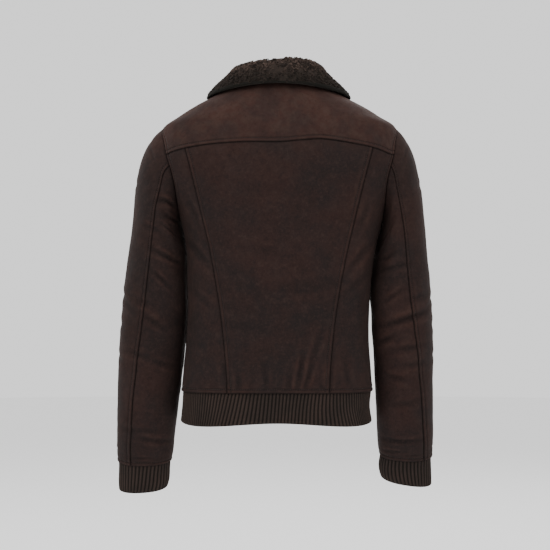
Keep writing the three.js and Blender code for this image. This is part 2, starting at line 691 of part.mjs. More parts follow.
// Moves a point of a knitted band's outside to where its surface is: every other column is a rib.
// The plain inside has none.
function knitted(point, outward, column, inside) {
  const rib = inside ? -RIB_WALL : (column % 2) * RIB_HEIGHT;
  return point.addScaledVector(outward, rib - RIB_HEIGHT);
}

// A knitted cuff: sections like the sleeve's, with ribs
function cuff(side) {
  const ring = (section, count, inside) =>
    steps(0, 360, count)
      .slice(0, -1)
      .map((round, j) => {
        const point = sectionPoint(section, side.sign, round);
        const middle = new THREE.Vector3(
          (side.sign * (section.outerX + section.innerX)) / 2,
          section.y,
          (section.outerZ + section.innerZ) / 2,
        );
        return knitted(point, point.clone().sub(middle).normalize(), j, inside);
      });
  const outer = side.cuff.map((section) => ring(section, 2 * CUFF_RIBS, false));
  const inner = side.cuff.map((section) => ring(section, CUFF_INNER_STEPS, true));
  return addPiece(`cuff_${side.name}`, ribbedGeometry(outer, inner, true), knit);
}

for (const side of [LEFT, RIGHT]) {
  sleevePanel(`sleeve_top_${side.name}`, side, TOP_COLUMNS, (at) => {
    const [back, frontSeam] = sleeveSeams(side, at);
    return [frontSeam - 360, back];
  });
  sleevePanel(`sleeve_under_${side.name}`, side, UNDER_COLUMNS, (at) => sleeveSeams(side, at));
  cuff(side);
}

// The ribbed hem, open at the front for the zip
function hem() {
  const ring = (row, count, inside) => {
    const left = angleForX(row, ZIP_HALF_OPENING + SEAM_INSET, true);
    const lowered = (HEM[0].side - row.side) / (HEM[0].side - HEM[HEM.length - 1].side);
    return steps(-left, left, count).map((angle, j) => {
      const point = ringPoint(row, angle);
      const outward = new THREE.Vector3(point.x / row.left ** 2, point.y / row.back ** 2, 0).normalize();
      point.z -= HEM_DIP * lowered * Math.sin(2 * radians(angle)) ** 2;
      return knitted(point, outward, j, inside);
    });
  };
  const outer = HEM.map((row) => ring(row, 2 * HEM_RIBS, false));
  const inner = HEM.map((row) => ring(row, HEM_INNER_STEPS, true));
  return addPiece("hem_rib", ribbedGeometry(outer, inner, false), knit);
}

hem();

// A point over the body, clear of it
function overBody(angle, ring, clear) {
  return plainBody(angle, ring).addScaledVector(bodyNormal(angle, ring), clear);
}

// The collar's suede side, from the neck seam (0) up, over the fold and out to its edge (1)
function collarCurve(angle) {
  const row = rowAt(COLLAR, "angle", Math.abs(angle));
  const seam = plainBody(angle, NECK_SEAM);
  const outward = bodyNormal(angle, NECK_SEAM).setZ(0).normalize();
  const from = (out, up) => seam.clone().addScaledVector(outward, out).add(new THREE.Vector3(0, 0, up));
  const towardsBack = Math.max(Math.cos(radians(angle)), 0);
  const tall = row.standing - COLLAR_TILT * Math.sin(radians(angle)) * towardsBack ** 2;
  const fold = row.fold;
  const edgeAngle = Math.sign(angle) * row.edgeAngle;
  return new THREE.CatmullRomCurve3(
    [
      from(0, SEAM_INSET * 2),
      from(row.lean * 0.4, tall * 0.4),
      from(row.lean, tall - fold),
      from(row.lean + fold, tall),
      from(row.lean + 2 * fold, tall - fold),
      overBody((angle + edgeAngle) / 2, (NECK_SEAM + row.edgeRing) / 2, row.belly),
      overBody(edgeAngle, row.edgeRing, row.clearance),
    ],
    false,
    "centripetal",
  );
}

function collar() {
  const neckRow = (sign) => front(sign)[front(sign).length - 1].slice(1, COLLAR_FRONT_COLUMNS + 1);
  const yokeTop = yoke()[yoke().length - 1];
  const angles = [...neckRow(-1).reverse(), ...yokeTop, ...neckRow(1)].map((place) => place.angle);
  const surface = (angle, share) => collarCurve(angle).getPoint(share);
  const places = steps(0, 1, COLLAR_STEPS).map((share) => angles.map((angle) => [angle, share]));
  const points = places.map((row) => row.map(([angle, share]) => surface(angle, share)));
  const normals = places.map((row) =>
    row.map(([angle, share]) => normalOf(surface, angle, clamp(share, 0.01, 0.99), 0.4, 0.01)),
  );
  insetEdges(points, normals, false);
  const thicknesses = steps(0, 1, COLLAR_STEPS).map((share) => {
    const towardsRoll = lerp(COLLAR_WALL.seam, COLLAR_WALL.roll, smoothstep(share, 0, 0.4));
    const rounding = Math.max(0, (share - COLLAR_ROUNDED) / (1 - COLLAR_ROUNDED));
    return lerp(COLLAR_WALL.edge, towardsRoll, Math.sqrt(1 - rounding ** 2));
  });
  return addPiece("collar", wallGeometry(points, normals, thicknesses), wool);
}

collar();

// The zip follows the middle line of the fronts and of the hem. A frame has a point of that line and
// the direction out of the front.
const hemFrame = (row) => ({ middle: ringPoint(row, 180), out: new THREE.Vector3(0, -1, 0) });
const bodyFrame = (ring) => ({ middle: plainBody(180, ring), out: bodyNormal(180, ring) });
const sliderFrames = [SLIDER.ring - SLIDER.length, SLIDER.ring].map(bodyFrame);
const ZIP_FRAMES = [
  ...HEM.toReversed().map(hemFrame),
  ...steps(HEM_SEAM + 3, SLIDER.ring - SLIDER.length, 22).map(bodyFrame),
  sliderFrames[1],
  bodyFrame(NECK_SEAM - 1.5),
];

// Half of the zip: a tape with the block of its teeth along the inner edge. Its corners are given as
// (across, behind the fronts' outer face), and it draws back from the middle inside the slider.
function zipHalf(side) {
  const [face, rear] = [ZIP_DEPTH, ZIP_DEPTH + ZIP_TAPE.thickness];
  const [bead, beadRear] = [ZIP_DEPTH - ZIP_TEETH.proud, rear + ZIP_TEETH.proud];
  const rings = ZIP_FRAMES.map(({ middle, out }, i) => {
    const apart = i < ZIP_FRAMES.length - 2 ? 0 : ZIP_TEETH.parting;
    const [near, block] = [ZIP_TEETH.gap + apart, ZIP_TEETH.width + apart];
    const corners = [
      [near, bead],
      [block, bead],
      [block, face],
      [ZIP_TAPE.width, face],
      [ZIP_TAPE.width, rear],
      [block, rear],
      [block, beadRear],
      [near, beadRear],
    ];
    return corners.map(([across, behind]) =>
      middle.clone().addScaledVector(out, -behind).setX(side.sign * across),
    );
  });
  const count = rings[0].length;
  const triangles = [];
  for (let i = 0; i < rings.length - 1; i += 1) {
    for (let j = 0; j < count; j += 1) {
      const k = (j + 1) % count;
      const [a, b, c, d] = [i * count + j, i * count + k, (i + 1) * count + k, (i + 1) * count + j];
      triangles.push(a, b, c, a, c, d);
    }
  }
  const last = (rings.length - 1) * count;
  for (const [a, b, c] of ZIP_CAP) {
    triangles.push(a, c, b, last + a, last + b, last + c);
  }
  return addPiece(`zip_${side.name}`, geometryOf(rings.flat(), triangles), tape);
}

zipHalf(LEFT);
zipHalf(RIGHT);

// A block between two corners, as a manifold-3d solid
const manifold = await Module();
manifold.setup();

function block(from, to) {
  const size = to.map((value, i) => value - from[i]);
  return manifold.Manifold.cube(size).translate(from);
}

function meshOf(name, solid, material) {
  const { vertProperties, triVerts, numProp } = solid.getMesh();
  const geometry = new THREE.BufferGeometry();
  const positions = new THREE.InterleavedBuffer(vertProperties, numProp);
  geometry.setAttribute("position", new THREE.InterleavedBufferAttribute(positions, 3, 0));
  geometry.setIndex([...triVerts]);
  const flat = geometry.toNonIndexed();
  flat.computeVertexNormals();
  return addPiece(name, flat, material);
}

// The slider: plates before and behind the teeth, joined by a post, and a bridge for the pull's bar.
// Along the zip it is built upright, then leant back with the fronts.
const sliderRun = sliderFrames[1].middle.clone().sub(sliderFrames[0].middle);
const sliderMiddle = sliderFrames[0].middle.clone().addScaledVector(sliderRun, 0.5);

function placed(solid) {
  const slope = degrees(Math.atan2(sliderRun.y, sliderRun.z));
  return solid.rotate([-slope, 0, 0]).translate(sliderMiddle.toArray());
}

const face = ZIP_DEPTH - ZIP_TEETH.proud - SLIDER.clearance - SLIDER.plate;
const rearFace = ZIP_DEPTH + ZIP_TAPE.thickness + ZIP_TEETH.proud + SLIDER.clearance;
const [halfWidth, halfLength] = [SLIDER.width / 2, SLIDER.length / 2];

function slider() {
  const plate = (front) => {
    const rear = front + SLIDER.plate;
    return block([-halfWidth, front, -halfLength], [halfWidth, rear, halfLength]);
  };
  const post = block(
    [-SLIDER.post / 2, face, halfLength - SLIDER.postLength],
    [SLIDER.post / 2, rearFace + SLIDER.plate, halfLength],
  );
  const [half, reach] = [BRIDGE.width / 2, BRIDGE.length / 2];
  const arch = block([-half, face - BRIDGE.height, -reach], [half, face + SLIDER.plate, reach]);
  const hole = block(
    [-BRIDGE.width, face - BRIDGE.height + BRIDGE.bar, BRIDGE.bar - reach],
    [BRIDGE.width, face, reach - BRIDGE.bar],
  );
  const plates = plate(face).add(plate(rearFace));
  return meshOf("zip_slider", placed(plates.add(post).add(arch).subtract(hole)), metal);
}

// The pull: a tab with an eye, whose top bar lies in the bridge. It hangs straight down from there.
const pin = face - (BRIDGE.height - BRIDGE.bar) / 2;

function pull() {
  const [wide, thin, bar] = [PULL.width / 2, PULL.thickness / 2, PULL.bar / 2];
  const tab = block([-wide, pin - thin, -PULL.length], [wide, pin + thin, bar]);
  const eye = block(
    [-PULL.eyeWidth / 2, pin - PULL.thickness, -bar - PULL.eyeLength],
    [PULL.eyeWidth / 2, pin + PULL.thickness, -bar],
  );
  return meshOf("zip_pull", placed(tab.subtract(eye)), metal);
}

slider();
pull();

export default jacket;
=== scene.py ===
import bpy
import numpy as np
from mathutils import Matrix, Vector


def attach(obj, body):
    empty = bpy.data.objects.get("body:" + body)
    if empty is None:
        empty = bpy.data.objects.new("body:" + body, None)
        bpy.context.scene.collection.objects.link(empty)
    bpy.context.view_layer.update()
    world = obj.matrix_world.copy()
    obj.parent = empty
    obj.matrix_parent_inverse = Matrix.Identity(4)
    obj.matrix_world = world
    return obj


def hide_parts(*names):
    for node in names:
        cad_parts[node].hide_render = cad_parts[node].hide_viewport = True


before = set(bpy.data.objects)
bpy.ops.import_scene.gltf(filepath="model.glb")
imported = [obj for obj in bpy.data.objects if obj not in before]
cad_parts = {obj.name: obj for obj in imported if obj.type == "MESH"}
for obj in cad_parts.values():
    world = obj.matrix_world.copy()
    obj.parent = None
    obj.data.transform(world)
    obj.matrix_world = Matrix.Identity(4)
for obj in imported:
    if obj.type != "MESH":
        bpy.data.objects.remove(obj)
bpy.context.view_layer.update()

MM = 0.001
GARMENT, PULL_BODY = "garment", "pull"

# The photograph's view, from behind
CAMERA_PLACE = (0.0057, 3.2, -0.375)
CAMERA_LENS = 110.2
FLOOR_HEIGHT = -1.25
FLOOR_RADIUS = 9.0


def table(columns, *rows):
    values = np.array(rows, float).T
    return dict(zip(columns.split(), values))


# Rings of the body, sections of the sleeves and rings of the cuffs and of the hem, as in the solids
BODY = table(
    "side nape throat left right back front boxBack boxFront",
    (-594, -593, -594, 182.5, 179, 109, 116, 2.6, 2.5),
    (-560, -559, -560, 180, 176.5, 110, 121, 2.6, 2.5),
    (-500, -500, -500, 174.5, 172.5, 108, 123, 2.6, 2.5),
    (-440, -440, -440, 171, 173, 106, 124, 2.6, 2.5),
    (-380, -380, -381, 172.5, 177, 108, 126, 2.7, 2.5),
    (-325, -324, -327, 174, 185, 112, 129, 2.8, 2.6),
    (-268, -266, -272, 185, 198, 118, 132, 3.0, 2.8),
    (-215, -208, -222, 201, 211, 121, 131, 3.4, 3.0),
    (-160, -146, -178, 219, 227, 119, 126, 3.6, 3.2),
    (-124, -100, -152, 220, 226, 111, 118, 3.3, 3.0),
    (-96, -67, -132, 215, 221, 100, 110, 3.0, 2.8),
    (-78, -53, -118, 189, 194, 93, 102, 2.8, 2.6),
    (-58, -39, -105, 160, 164, 85, 94, 2.6, 2.4),
    (-43, -29, -96, 133, 136, 78, 86, 2.4, 2.2),
    (-28, -20, -88, 107, 108, 70, 78, 2.2, 2.1),
    (-14, -12, -80, 82, 82, 62, 70, 2.0, 2.0),
)
SECTION_COLUMNS = "at outerX outerZ innerX innerZ y depth lean"
SLEEVE_LEFT = table(
    SECTION_COLUMNS + " backSeam",
    (0, 215, -96, 185, -268, 0, 74, 0, 90),
    (1, 232, -111, 187, -281, 0, 76, 0, 88),
    (2, 247, -132, 186, -293, -1, 77, 0, 89),
    (3, 258, -155, 184, -307, -2, 77, 0, 87.5),
    (4, 266, -186, 181, -325, -3, 76, 1, 84),
    (5, 272, -230, 178, -350, -4, 74, 2, 81),
    (6, 278, -287, 176, -384, -6, 71, 3, 78),
    (7, 287, -352, 174.5, -423, -9, 68, 4, 76),
    (8, 295, -420, 175.5, -470, -14, 66, 6, 73.5),
    (9, 302, -490, 180, -522, -21, 63, 8, 70.5),
    (10, 306, -550, 185, -572, -29, 59, 10, 67),
    (11, 308, -612, 191, -624, -38, 54, 12, 63.5),
    (12, 310, -672, 198, -678, -47, 48, 14, 63),
    (13, 311, -708, 202, -711, -53, 44, 14, 63),
    (14, 309, -732, 206, -731, -57, 40, 14, 63),
)
SLEEVE_RIGHT = table(
    SECTION_COLUMNS + " backSeam",
    (0, 221, -96, 198, -268, 0, 74, 0, 90),
    (1, 235, -110, 199, -281, 0, 76, 0, 92),
    (2, 248, -131, 197, -295, -1, 77, 0, 93),
    (3, 258, -154, 194, -311, -2, 77, 0, 91.5),
    (4, 267, -188, 190.5, -330, -3, 76, 1, 89),
    (5, 275, -236, 186, -356, -4, 74, 2, 84),
    (6, 281, -300, 180.5, -390, -6, 71, 3, 80),
    (7, 287, -361, 177.5, -428, -9, 68, 4, 77),
    (8, 292, -425, 178, -472, -14, 66, 6, 72.5),
    (9, 296, -490, 181, -522, -21, 63, 8, 67),
    (10, 298, -550, 185, -570, -29, 59, 10, 63),
    (11, 298, -610, 188, -620, -38, 54, 12, 58),
    (12, 298, -668, 191, -672, -47, 48, 14, 54),
    (13, 298, -703, 194, -703, -53, 44, 14, 52.5),
    (14, 297, -724, 197, -721, -56, 40, 14, 51),
)
CUFF_LEFT = table(
    SECTION_COLUMNS,
    (0, 307.5, -732.15, 207.5, -731.15, -57.04, 37, 14),
    (1, 308, -752, 209, -750, -62, 36, 14),
    (2, 309, -772, 210, -768, -66.5, 36, 14),
    (3, 308.5, -789, 214, -783, -70, 35, 14),
)
CUFF_RIGHT = table(
    SECTION_COLUMNS,
    (0, 295.5, -724.15, 197.5, -721.15, -56.04, 37, 14),
    (1, 296.5, -744, 195, -738, -61, 36, 14),
    (2, 297.5, -763, 196, -753, -65, 36, 14),
    (3, 298, -779, 200, -765, -69, 35, 14),
)
HEM = table(
    "at side nape throat left right back front boxBack boxFront",
    (0, -594.35, -593.35, -594.35, 180, 176.5, 107, 115, 2.6, 2.5),
    (1, -622, -621, -622, 181.5, 174, 107, 115, 2.6, 2.5),
    (2, -650, -648, -650, 184.5, 178, 106.5, 114, 2.6, 2.5),
)
YOKE_LIFT = table(
    "share lift",
    (-1, 0), (-0.92, -0.5), (-0.76, 4.8), (-0.6, 7.6), (-0.35, 8.4), (-0.19, 4),
    (0, 0), (0.36, 3.7), (0.56, 5.5), (0.81, 4), (1, 0),
)
COLLAR = table(
    "angle standing lean fold belly edgeAngle edgeRing clearance",
    (0, 29, 2, 5.5, 17, 0, -37, 9),
    (30, 28, 1, 5.5, 16, 29, -37.5, 8),
    (60, 23, -4, 5, 10, 58, -39, 5),
    (90, 15, -8, 4.5, 6, 90, -43, 2.5),
    (120, 15, -2, 5, 8, 118, -46, 3.5),
    (145, 14, 4, 5.5, 9, 141, -84, 4),
    (162, 12, 6, 5.5, 9, 154, -124, 4),
    (171, 10, 7, 5.5, 9, 159, -142, 4),
)

# Walls, seams and places on the body, as in the solids
WALL = 5
COLLAR_WALL = {"seam": 8, "roll": 12.5, "edge": 6}
COLLAR_ROUNDED, COLLAR_TILT = 0.6, 7.5
RIB_WALL = 3.2
RIB_HEIGHT = 1.5
HEM_SEAM, ARMPIT, SHOULDER_TIP, NECK_SEAM = -594, -268, -96, -14
SLEEVE_END, SLEEVE_CLEARANCE, SLEEVE_PRESS, ARMHOLE_FADE, SLEEVE_SQUARE = 14, 1.8, 4.5, 4, 2.2
FRONT_SEAM_TOP, FRONT_SEAM_END = 255, 240
ARMHOLE_BACK, ARMHOLE_FRONT, ARMHOLE_BEND = 35, 33, 0.87
YOKE_CENTRE, YOKE_END, SHOULDER_SEAM = -147.5, 75, -15
SLANT = {"top": 170, "bottom": 94, "bend": 1.64, 1: 1, -1: 4}
CUFF_RIBS, HEM_RIBS, HEM_DIP = 42, 168, 6
ZIP_HALF_OPENING, ZIP_DEPTH = 5.5, 6.4
ZIP_TAPE = {"width": 15, "thickness": 1}
ZIP_TEETH = {"gap": 0.2, "width": 3, "proud": 0.9, "parting": 1.9, "pitch": 3.3}
SLIDER = {"width": 9, "length": 12, "plate": 1.2, "post": 2, "post_length": 3, "clearance": 0.6, "ring": -19}
BRIDGE = {"width": 2.4, "length": 6, "height": 3.6, "bar": 1.2}
PULL = {"width": 6.5, "length": 28, "thickness": 1.4, "bar": 1.4, "eye_width": 3.4, "eye_length": 5.5}

# Folds of the body: x and z of the middle, on the back (1) or the front (0), how long and wide, the
# direction in degrees from level, and how deep. The first rows are the solids' own.
BODY_FOLDS = table(
    "x z back long wide turn deep",
    (60, -568, 1, 60, 16, 80, 2.6),
    (-64, -560, 1, 70, 18, 100, -2.8),
    (-92, -575, 1, 50, 13, 84, 2.8),
    (118, -566, 1, 60, 16, 72, -2.4),
    (150, -300, 1, 80, 18, 62, -2.6),
    (-158, -306, 1, 80, 18, 118, -2.6),
    (0, -430, 1, 150, 60, 0, -3),
    (-95, -560, 0, 60, 16, 98, 2.6),
    (70, -565, 0, 60, 16, 84, 2.6),
    (130, -300, 0, 80, 18, 60, -2.8),
    (-135, -305, 0, 80, 18, 120, -2.8),
)

# Finer creases, pinched between two soft lips, with the same columns
BODY_CREASES = table(
    "x z back long wide turn deep",
    (-41, -552, 1, 34, 4.2, 100, -2.4),
    (-57, -560, 1, 24, 4.0, 106, -1.9),
    (-96, -558, 1, 28, 4.6, 96, -1.8),
    (-72, -505, 1, 30, 5.0, 108, -1.4),
    (-82, -584, 1, 14, 4.0, 64, -1.5),
    (72, -574, 1, 20, 4.2, 86, -1.6),
    (100, -548, 1, 28, 5.0, 76, -1.3),
    (-128, -560, 1, 24, 4.6, 80, -1.6),
    (-20, -574, 1, 18, 4.2, 94, -1.4),
    (24, -566, 1, 24, 5.0, 88, -1.2),
    (50, -580, 1, 14, 4.0, 98, -1.1),
    (146, -338, 1, 36, 5.0, 48, -1.6),
    (156, -262, 1, 30, 5.0, 66, -1.4),
    (-158, -268, 1, 34, 5.2, 112, -1.5),
    (-150, -345, 1, 38, 5.2, 130, -1.7),
    (-146, -392, 1, 28, 5.0, 138, -1.3),
    (140, -420, 1, 26, 5.0, 40, -1.1),
    (38, -330, 1, 60, 9, 12, -0.6),
    (-50, -395, 1, 66, 10, -8, -0.7),
    (60, -470, 1, 60, 9, 7, -0.6),
    (20, -215, 1, 70, 10, 4, -0.5),
    (-120, -560, 0, 34, 4.8, 101, -1.9),
    (95, -560, 0, 34, 4.8, 82, -2.0),
    (-48, -572, 0, 22, 4.4, 92, -1.6),
    (44, -570, 0, 22, 4.6, 90, -1.5),
    (138, -345, 0, 38, 5.2, 46, -1.8),
    (-142, -350, 0, 38, 5.2, 132, -1.8),
    (126, -392, 0, 30, 5.0, 38, -1.3),
    (96, -255, 0, 44, 6, 58, -1.5),
    (-100, -262, 0, 44, 6, 122, -1.5),
    (60, -420, 0, 60, 9, 9, -0.8),
    (-70, -450, 0, 60, 9, -9, -0.8),
)
FOLD_FADE = 30

# Folds of the sleeves: at is the section, round the place round it in degrees and side 1 for the left
# one, -1 for the right one and 0 for both. The first rows are the solids' own.
SLEEVE_FOLDS = table(
    "side at round long wide slope deep",
    (0, 3.2, 120, 60, 1.0, 0.012, -3.5),
    (0, 4.4, 150, 50, 0.6, 0.01, 3),
    (0, 5.3, 135, 55, 0.6, 0.012, -3),
    (0, 7.3, 110, 50, 0.45, -0.01, -2.6),
    (0, 8.1, 130, 60, 0.4, -0.008, -3),
    (0, 8.9, 120, 50, 0.4, 0.006, -2.4),
    (0, 9.8, 90, 60, 0.4, -0.006, -2),
    (0, 7.6, 250, 45, 0.35, 0.008, -4),
    (0, 8.4, 265, 55, 0.35, -0.006, -4.5),
    (0, 9.2, 250, 45, 0.35, 0.006, -3.5),
    (0, 4.2, 240, 45, 0.8, -0.012, -3.5),
    (0, 12.6, 100, 80, 0.5, 0.004, 1.8),
    (1, 3, 215, 42, 2.6, 0, 12),
    (1, 7.3, 215, 42, 2.2, 0, 13.5),
    (-1, 2.8, 208, 25, 2.6, 0, 12),
    (-1, 5.9, 208, 25, 1.5, 0, 9),
    (1, 4.6, 196, 36, 1.3, 0, 6),
    (0, 1.5, 138, 26, 1.2, 0, -3.5),
)
SLEEVE_CREASES = table(
    "side at round long wide slope deep",
    (1, 3.9, 122, 24, 0.1, -0.02, -2.2),
    (1, 13.2, 90, 26, 0.08, 0.002, -1.5),
    (-1, 3.4, 140, 24, 0.1, -0.012, -2.0),
    (-1, 13.3, 78, 22, 0.08, 0.001, -1.4),
    (0, 1.6, 40, 20, 0.14, 0.003, -1.2),
    (0, 2.4, 236, 24, 0.11, 0.0, -2.4),
    (0, 3.2, 228, 24, 0.11, -0.004, -2.2),
    (0, 4.6, 240, 26, 0.11, 0.003, -1.8),
    (0, 5.8, 256, 32, 0.1, 0.002, -2.0),
    (0, 6.8, 268, 34, 0.1, -0.003, -2.2),
    (0, 7.9, 262, 36, 0.1, 0.003, -2.6),
    (0, 8.8, 274, 38, 0.09, 0.002, -2.6),
    (0, 9.5, 258, 28, 0.09, -0.002, -1.9),
    (0, 10.4, 264, 32, 0.1, 0.0, -1.6),
    (0, 12.7, 270, 34, 0.09, 0.002, -1.8),
    (0, 4.4, 0, 24, 0.12, 0.0, -1.1),
    (0, 7.9, 12, 34, 0.1, 0.004, -1.7),
    (0, 8.7, -8, 32, 0.1, -0.003, -1.6),
    (0, 9.6, 14, 26, 0.1, 0.003, -1.2),
    (0, 13.0, 10, 34, 0.09, 0.002, -1.3),
)

# Creases that the photograph shows on the sleeves, each from one end to the other in its pixels, read
# one by one, with how wide and deep it is. seen_creases works out where they lie on the sleeves.
SEEN_CREASES = table(
    "side x0 y0 x1 y1 wide deep",
    (1, 160, 200, 176, 207, 0.2, -3.8),
    (1, 167, 216, 180, 221, 0.18, -2.8),
    (1, 146, 226, 158, 231, 0.09, -1.6),
    (1, 155, 251, 177, 262, 0.1, -2.8),
    (1, 154, 272, 167, 284, 0.09, -2.4),
    (1, 137, 300, 150, 305, 0.09, -1.4),
    (1, 148, 318, 160, 326, 0.09, -1.8),
    (1, 128, 352, 146, 357, 0.09, -1.4),
    (1, 150, 360, 172, 366, 0.09, -1.7),
    (1, 124, 428, 148, 431, 0.09, -1.5),
    (1, 140, 438, 168, 441, 0.09, -1.7),
    (-1, 382, 259, 392, 255, 0.09, -2.4),
    (-1, 384, 270, 405, 265, 0.1, -2.4),
    (-1, 386, 300, 400, 292, 0.09, -1.9),
    (-1, 410, 300, 424, 296, 0.09, -1.7),
    (-1, 390, 324, 424, 313, 0.1, -3.8),
    (-1, 380, 342, 392, 337, 0.09, -2.6),
    (-1, 396, 350, 418, 347, 0.09, -2.2),
    (-1, 404, 366, 424, 362, 0.09, -1.6),
    (-1, 390, 377, 403, 380, 0.09, -2.1),
    (-1, 395, 405, 416, 402, 0.09, -1.4),
    (-1, 388, 440, 416, 441, 0.09, -2.6),
    (-1, 383, 450, 402, 452, 0.09, -2.2),
)
CREASE_SHARE = 0.62  # a crease fades out over this share of the way between its ends
SHORTEST_CREASE = 19
PHOTO_SIZE, SENSOR_WIDTH = 550, 36

# What the seams look like: a lapped edge has a ridge, then a groove with the stitches in it
STITCH_LINE = 7.2
STITCH_LENGTH, STITCH_GAP, STITCH_RADIUS = 3.1, 1.1, 0.42
EDGE_INSET = 0.06
LAPPED = np.array([0, 0.5, 1.2, 2.4, 4.2, 5.6, 6.5, 7.2, 7.9, 8.8, 10.6, 13.4]) + EDGE_INSET
STITCH_INDEX = 7
TUCKED = np.array([0, 0.5, 1.2, 2.4, 4.8, 8.2]) + EDGE_INSET
GRID_STEP = 3.8


def radians(angle):
    return np.deg2rad(angle)


def lerp(a, b, share):
    return a + (b - a) * share


def smooth(x, low, high):
    share = np.clip((x - low) / (high - low), 0, 1)
    return share * share * (3 - 2 * share)


def unit(vectors):
    return vectors / np.maximum(np.linalg.norm(vectors, axis=-1, keepdims=True), 1e-12)


def noise(points, size, seed=0):
    """Smooth noise from -1 to 1, with lumps of about a given size."""
    scaled = points / size + 57.3 * seed + 1000
    cell = np.floor(scaled).astype(np.int64)
    share = scaled - cell
    share = share * share * (3 - 2 * share)
    total = 0
    for corner in np.ndindex(2, 2, 2):
        place = cell + corner
        code = place[..., 0] * 73856093 ^ place[..., 1] * 19349663 ^ place[..., 2] * 83492791
        code = (code ^ (code >> 13)) * 1274126177 & 0x7FFFFFFF
        code = (code ^ (code >> 15)) * 668265263 & 0x7FFFFFFF
        weight = np.prod(np.where(corner, share, 1 - share), axis=-1)
        total = total + weight * (code % 65536 / 32767.5 - 1)
    return total


def row_at(rows, key, place):
    """Every column of a table at places between its rows, on a smooth curve through them."""
    keys = rows[key]
    place = np.asarray(place, float)
    a = np.clip(np.searchsorted(keys, place) - 1, 0, len(keys) - 2)
    b, before, after = a + 1, np.maximum(a - 1, 0), np.minimum(a + 2, len(keys) - 1)
    span = keys[b] - keys[a]
    f = (place - keys[a]) / span
    row = {}
    for name, v in rows.items():
        slope_a = (v[b] - v[before]) / (keys[b] - keys[before]) * span
        slope_b = (v[after] - v[a]) / (keys[after] - keys[a]) * span
        rise = v[b] - v[a]
        curve = 3 * rise - 2 * slope_a - slope_b + f * (slope_a + slope_b - 2 * rise)
        row[name] = v[a] + f * (slope_a + f * curve)
    return row


def half_ring(ring, at_back):
    pick = lambda back, front: np.where(at_back, ring[back], ring[front])
    return pick("back", "front"), pick("boxBack", "boxFront"), pick("nape", "throat")


def ring_point(ring, angle):
    """A point on a boxy ring, at an angle in degrees from the centre back towards the wearer's left."""
    sine, cosine = np.sin(radians(angle)), np.cos(radians(angle))
    depth, square, end = half_ring(ring, cosine >= 0)
    reach = (np.abs(sine) ** square + np.abs(cosine) ** square) ** (-1 / square)
    width = np.where(sine >= 0, ring["left"], ring["right"])
    height = ring["side"] + (end - ring["side"]) * cosine**4
    return np.stack([width * reach * sine, depth * reach * cosine, height], -1)


def angle_for_x(ring, x, on_front):
    """The angle at which a ring is x away from the middle, on its back or front half."""
    square = ring["boxFront" if on_front else "boxBack"]
    share = np.abs(x) / np.where(np.asarray(x) >= 0, ring["left"], ring["right"])
    angle = np.degrees(np.arctan(share / (1 - share**square) ** (1 / square)))
    return np.sign(x) * (180 - angle if on_front else angle)


def normal_of(surface, u, v, step_u, step_v):
    along_u = surface(u + step_u, v) - surface(u - step_u, v)
    along_v = surface(u, v + step_v) - surface(u, v - step_v)
    return unit(np.cross(along_v, along_u))


def plain_body(angle, ring):
    return ring_point(row_at(BODY, "side", ring), angle)


def body_normal(angle, ring):
    return normal_of(plain_body, angle, np.minimum(ring, NECK_SEAM - 0.5), 0.5, 0.5)


def fold_rows(folds):
    return [dict(zip(folds, values)) for values in zip(*folds.values())]


def soft_fold(aside):
    return np.exp(-(aside**2))


def pinched_fold(aside):
    return np.exp(-(aside**2)) - 0.4 * np.exp(-(((np.abs(aside) - 1.9) / 0.9) ** 2))


def body_folds(point, ring, folds, profile):
    """How far folds move a point of the body out."""
    depth = 0
    for fold in fold_rows(folds):
        c, s = np.cos(radians(fold["turn"])), np.sin(radians(fold["turn"]))
        across, up = point[..., 0] - fold["x"], point[..., 2] - fold["z"]
        along = (across * c + up * s) / fold["long"]
        aside = (up * c - across * s) / fold["wide"]
        shown = (point[..., 1] >= 0) == (fold["back"] > 0)
        depth = depth + shown * fold["deep"] * np.exp(-(along**2)) * profile(aside)
    steady = smooth(np.abs(point[..., 1]), 0, FOLD_FADE) * smooth(ring, HEM_SEAM, HEM_SEAM + FOLD_FADE / 2)
    return depth * steady


def body_creases(angle, ring):
    return body_folds(plain_body(angle, ring), ring, BODY_CREASES, pinched_fold)


def body_point(angle, ring):
    point = plain_body(angle, ring)
    depth = body_folds(point, ring, BODY_FOLDS, soft_fold) + body_creases(angle, ring)
    return point + body_normal(angle, ring) * depth[..., None]


def armhole_place(sign, round_):
    back = np.sin(radians(round_))
    ring = lerp(ARMPIT, SHOULDER_TIP, ((1 + np.cos(radians(round_))) / 2) ** ARMHOLE_BEND)
    return sign * (90 - np.where(back > 0, ARMHOLE_BACK, ARMHOLE_FRONT) * back), ring


def section_point(section, sign, round_):
    """A sleeve's section: the place round it is in degrees from its outer edge towards the back."""
    sine, cosine = np.sin(radians(round_)), np.cos(radians(round_))
    reach = (np.abs(sine) ** SLEEVE_SQUARE + np.abs(cosine) ** SLEEVE_SQUARE) ** (-1 / SLEEVE_SQUARE)
    outwards, backwards = (1 + reach * cosine) / 2, reach * sine * section["depth"]
    lean = radians(section["lean"])
    return np.stack(
        [
            sign * lerp(section["innerX"], section["outerX"], outwards),
            section["y"] + backwards * np.cos(lean),
            lerp(section["innerZ"], section["outerZ"], outwards) - backwards * np.sin(lean),
        ],
        -1,
    )


def body_reach(sign, y, height):
    """How far from the middle the body's side is, at a distance y back and a height."""
    ring, reach = height, 0
    for _ in range(5):
        row = row_at(BODY, "side", np.clip(ring, HEM_SEAM, NECK_SEAM))
        depth, square, end = half_ring(row, y >= 0)
        share = np.minimum(np.abs(y) / depth, 1)
        across = (1 - share**square) ** (1 / square)
        ring = height - (end - row["side"]) * (share**2 / (share**2 + across**2)) ** 2
        reach = row["left" if sign > 0 else "right"] * across
    return reach


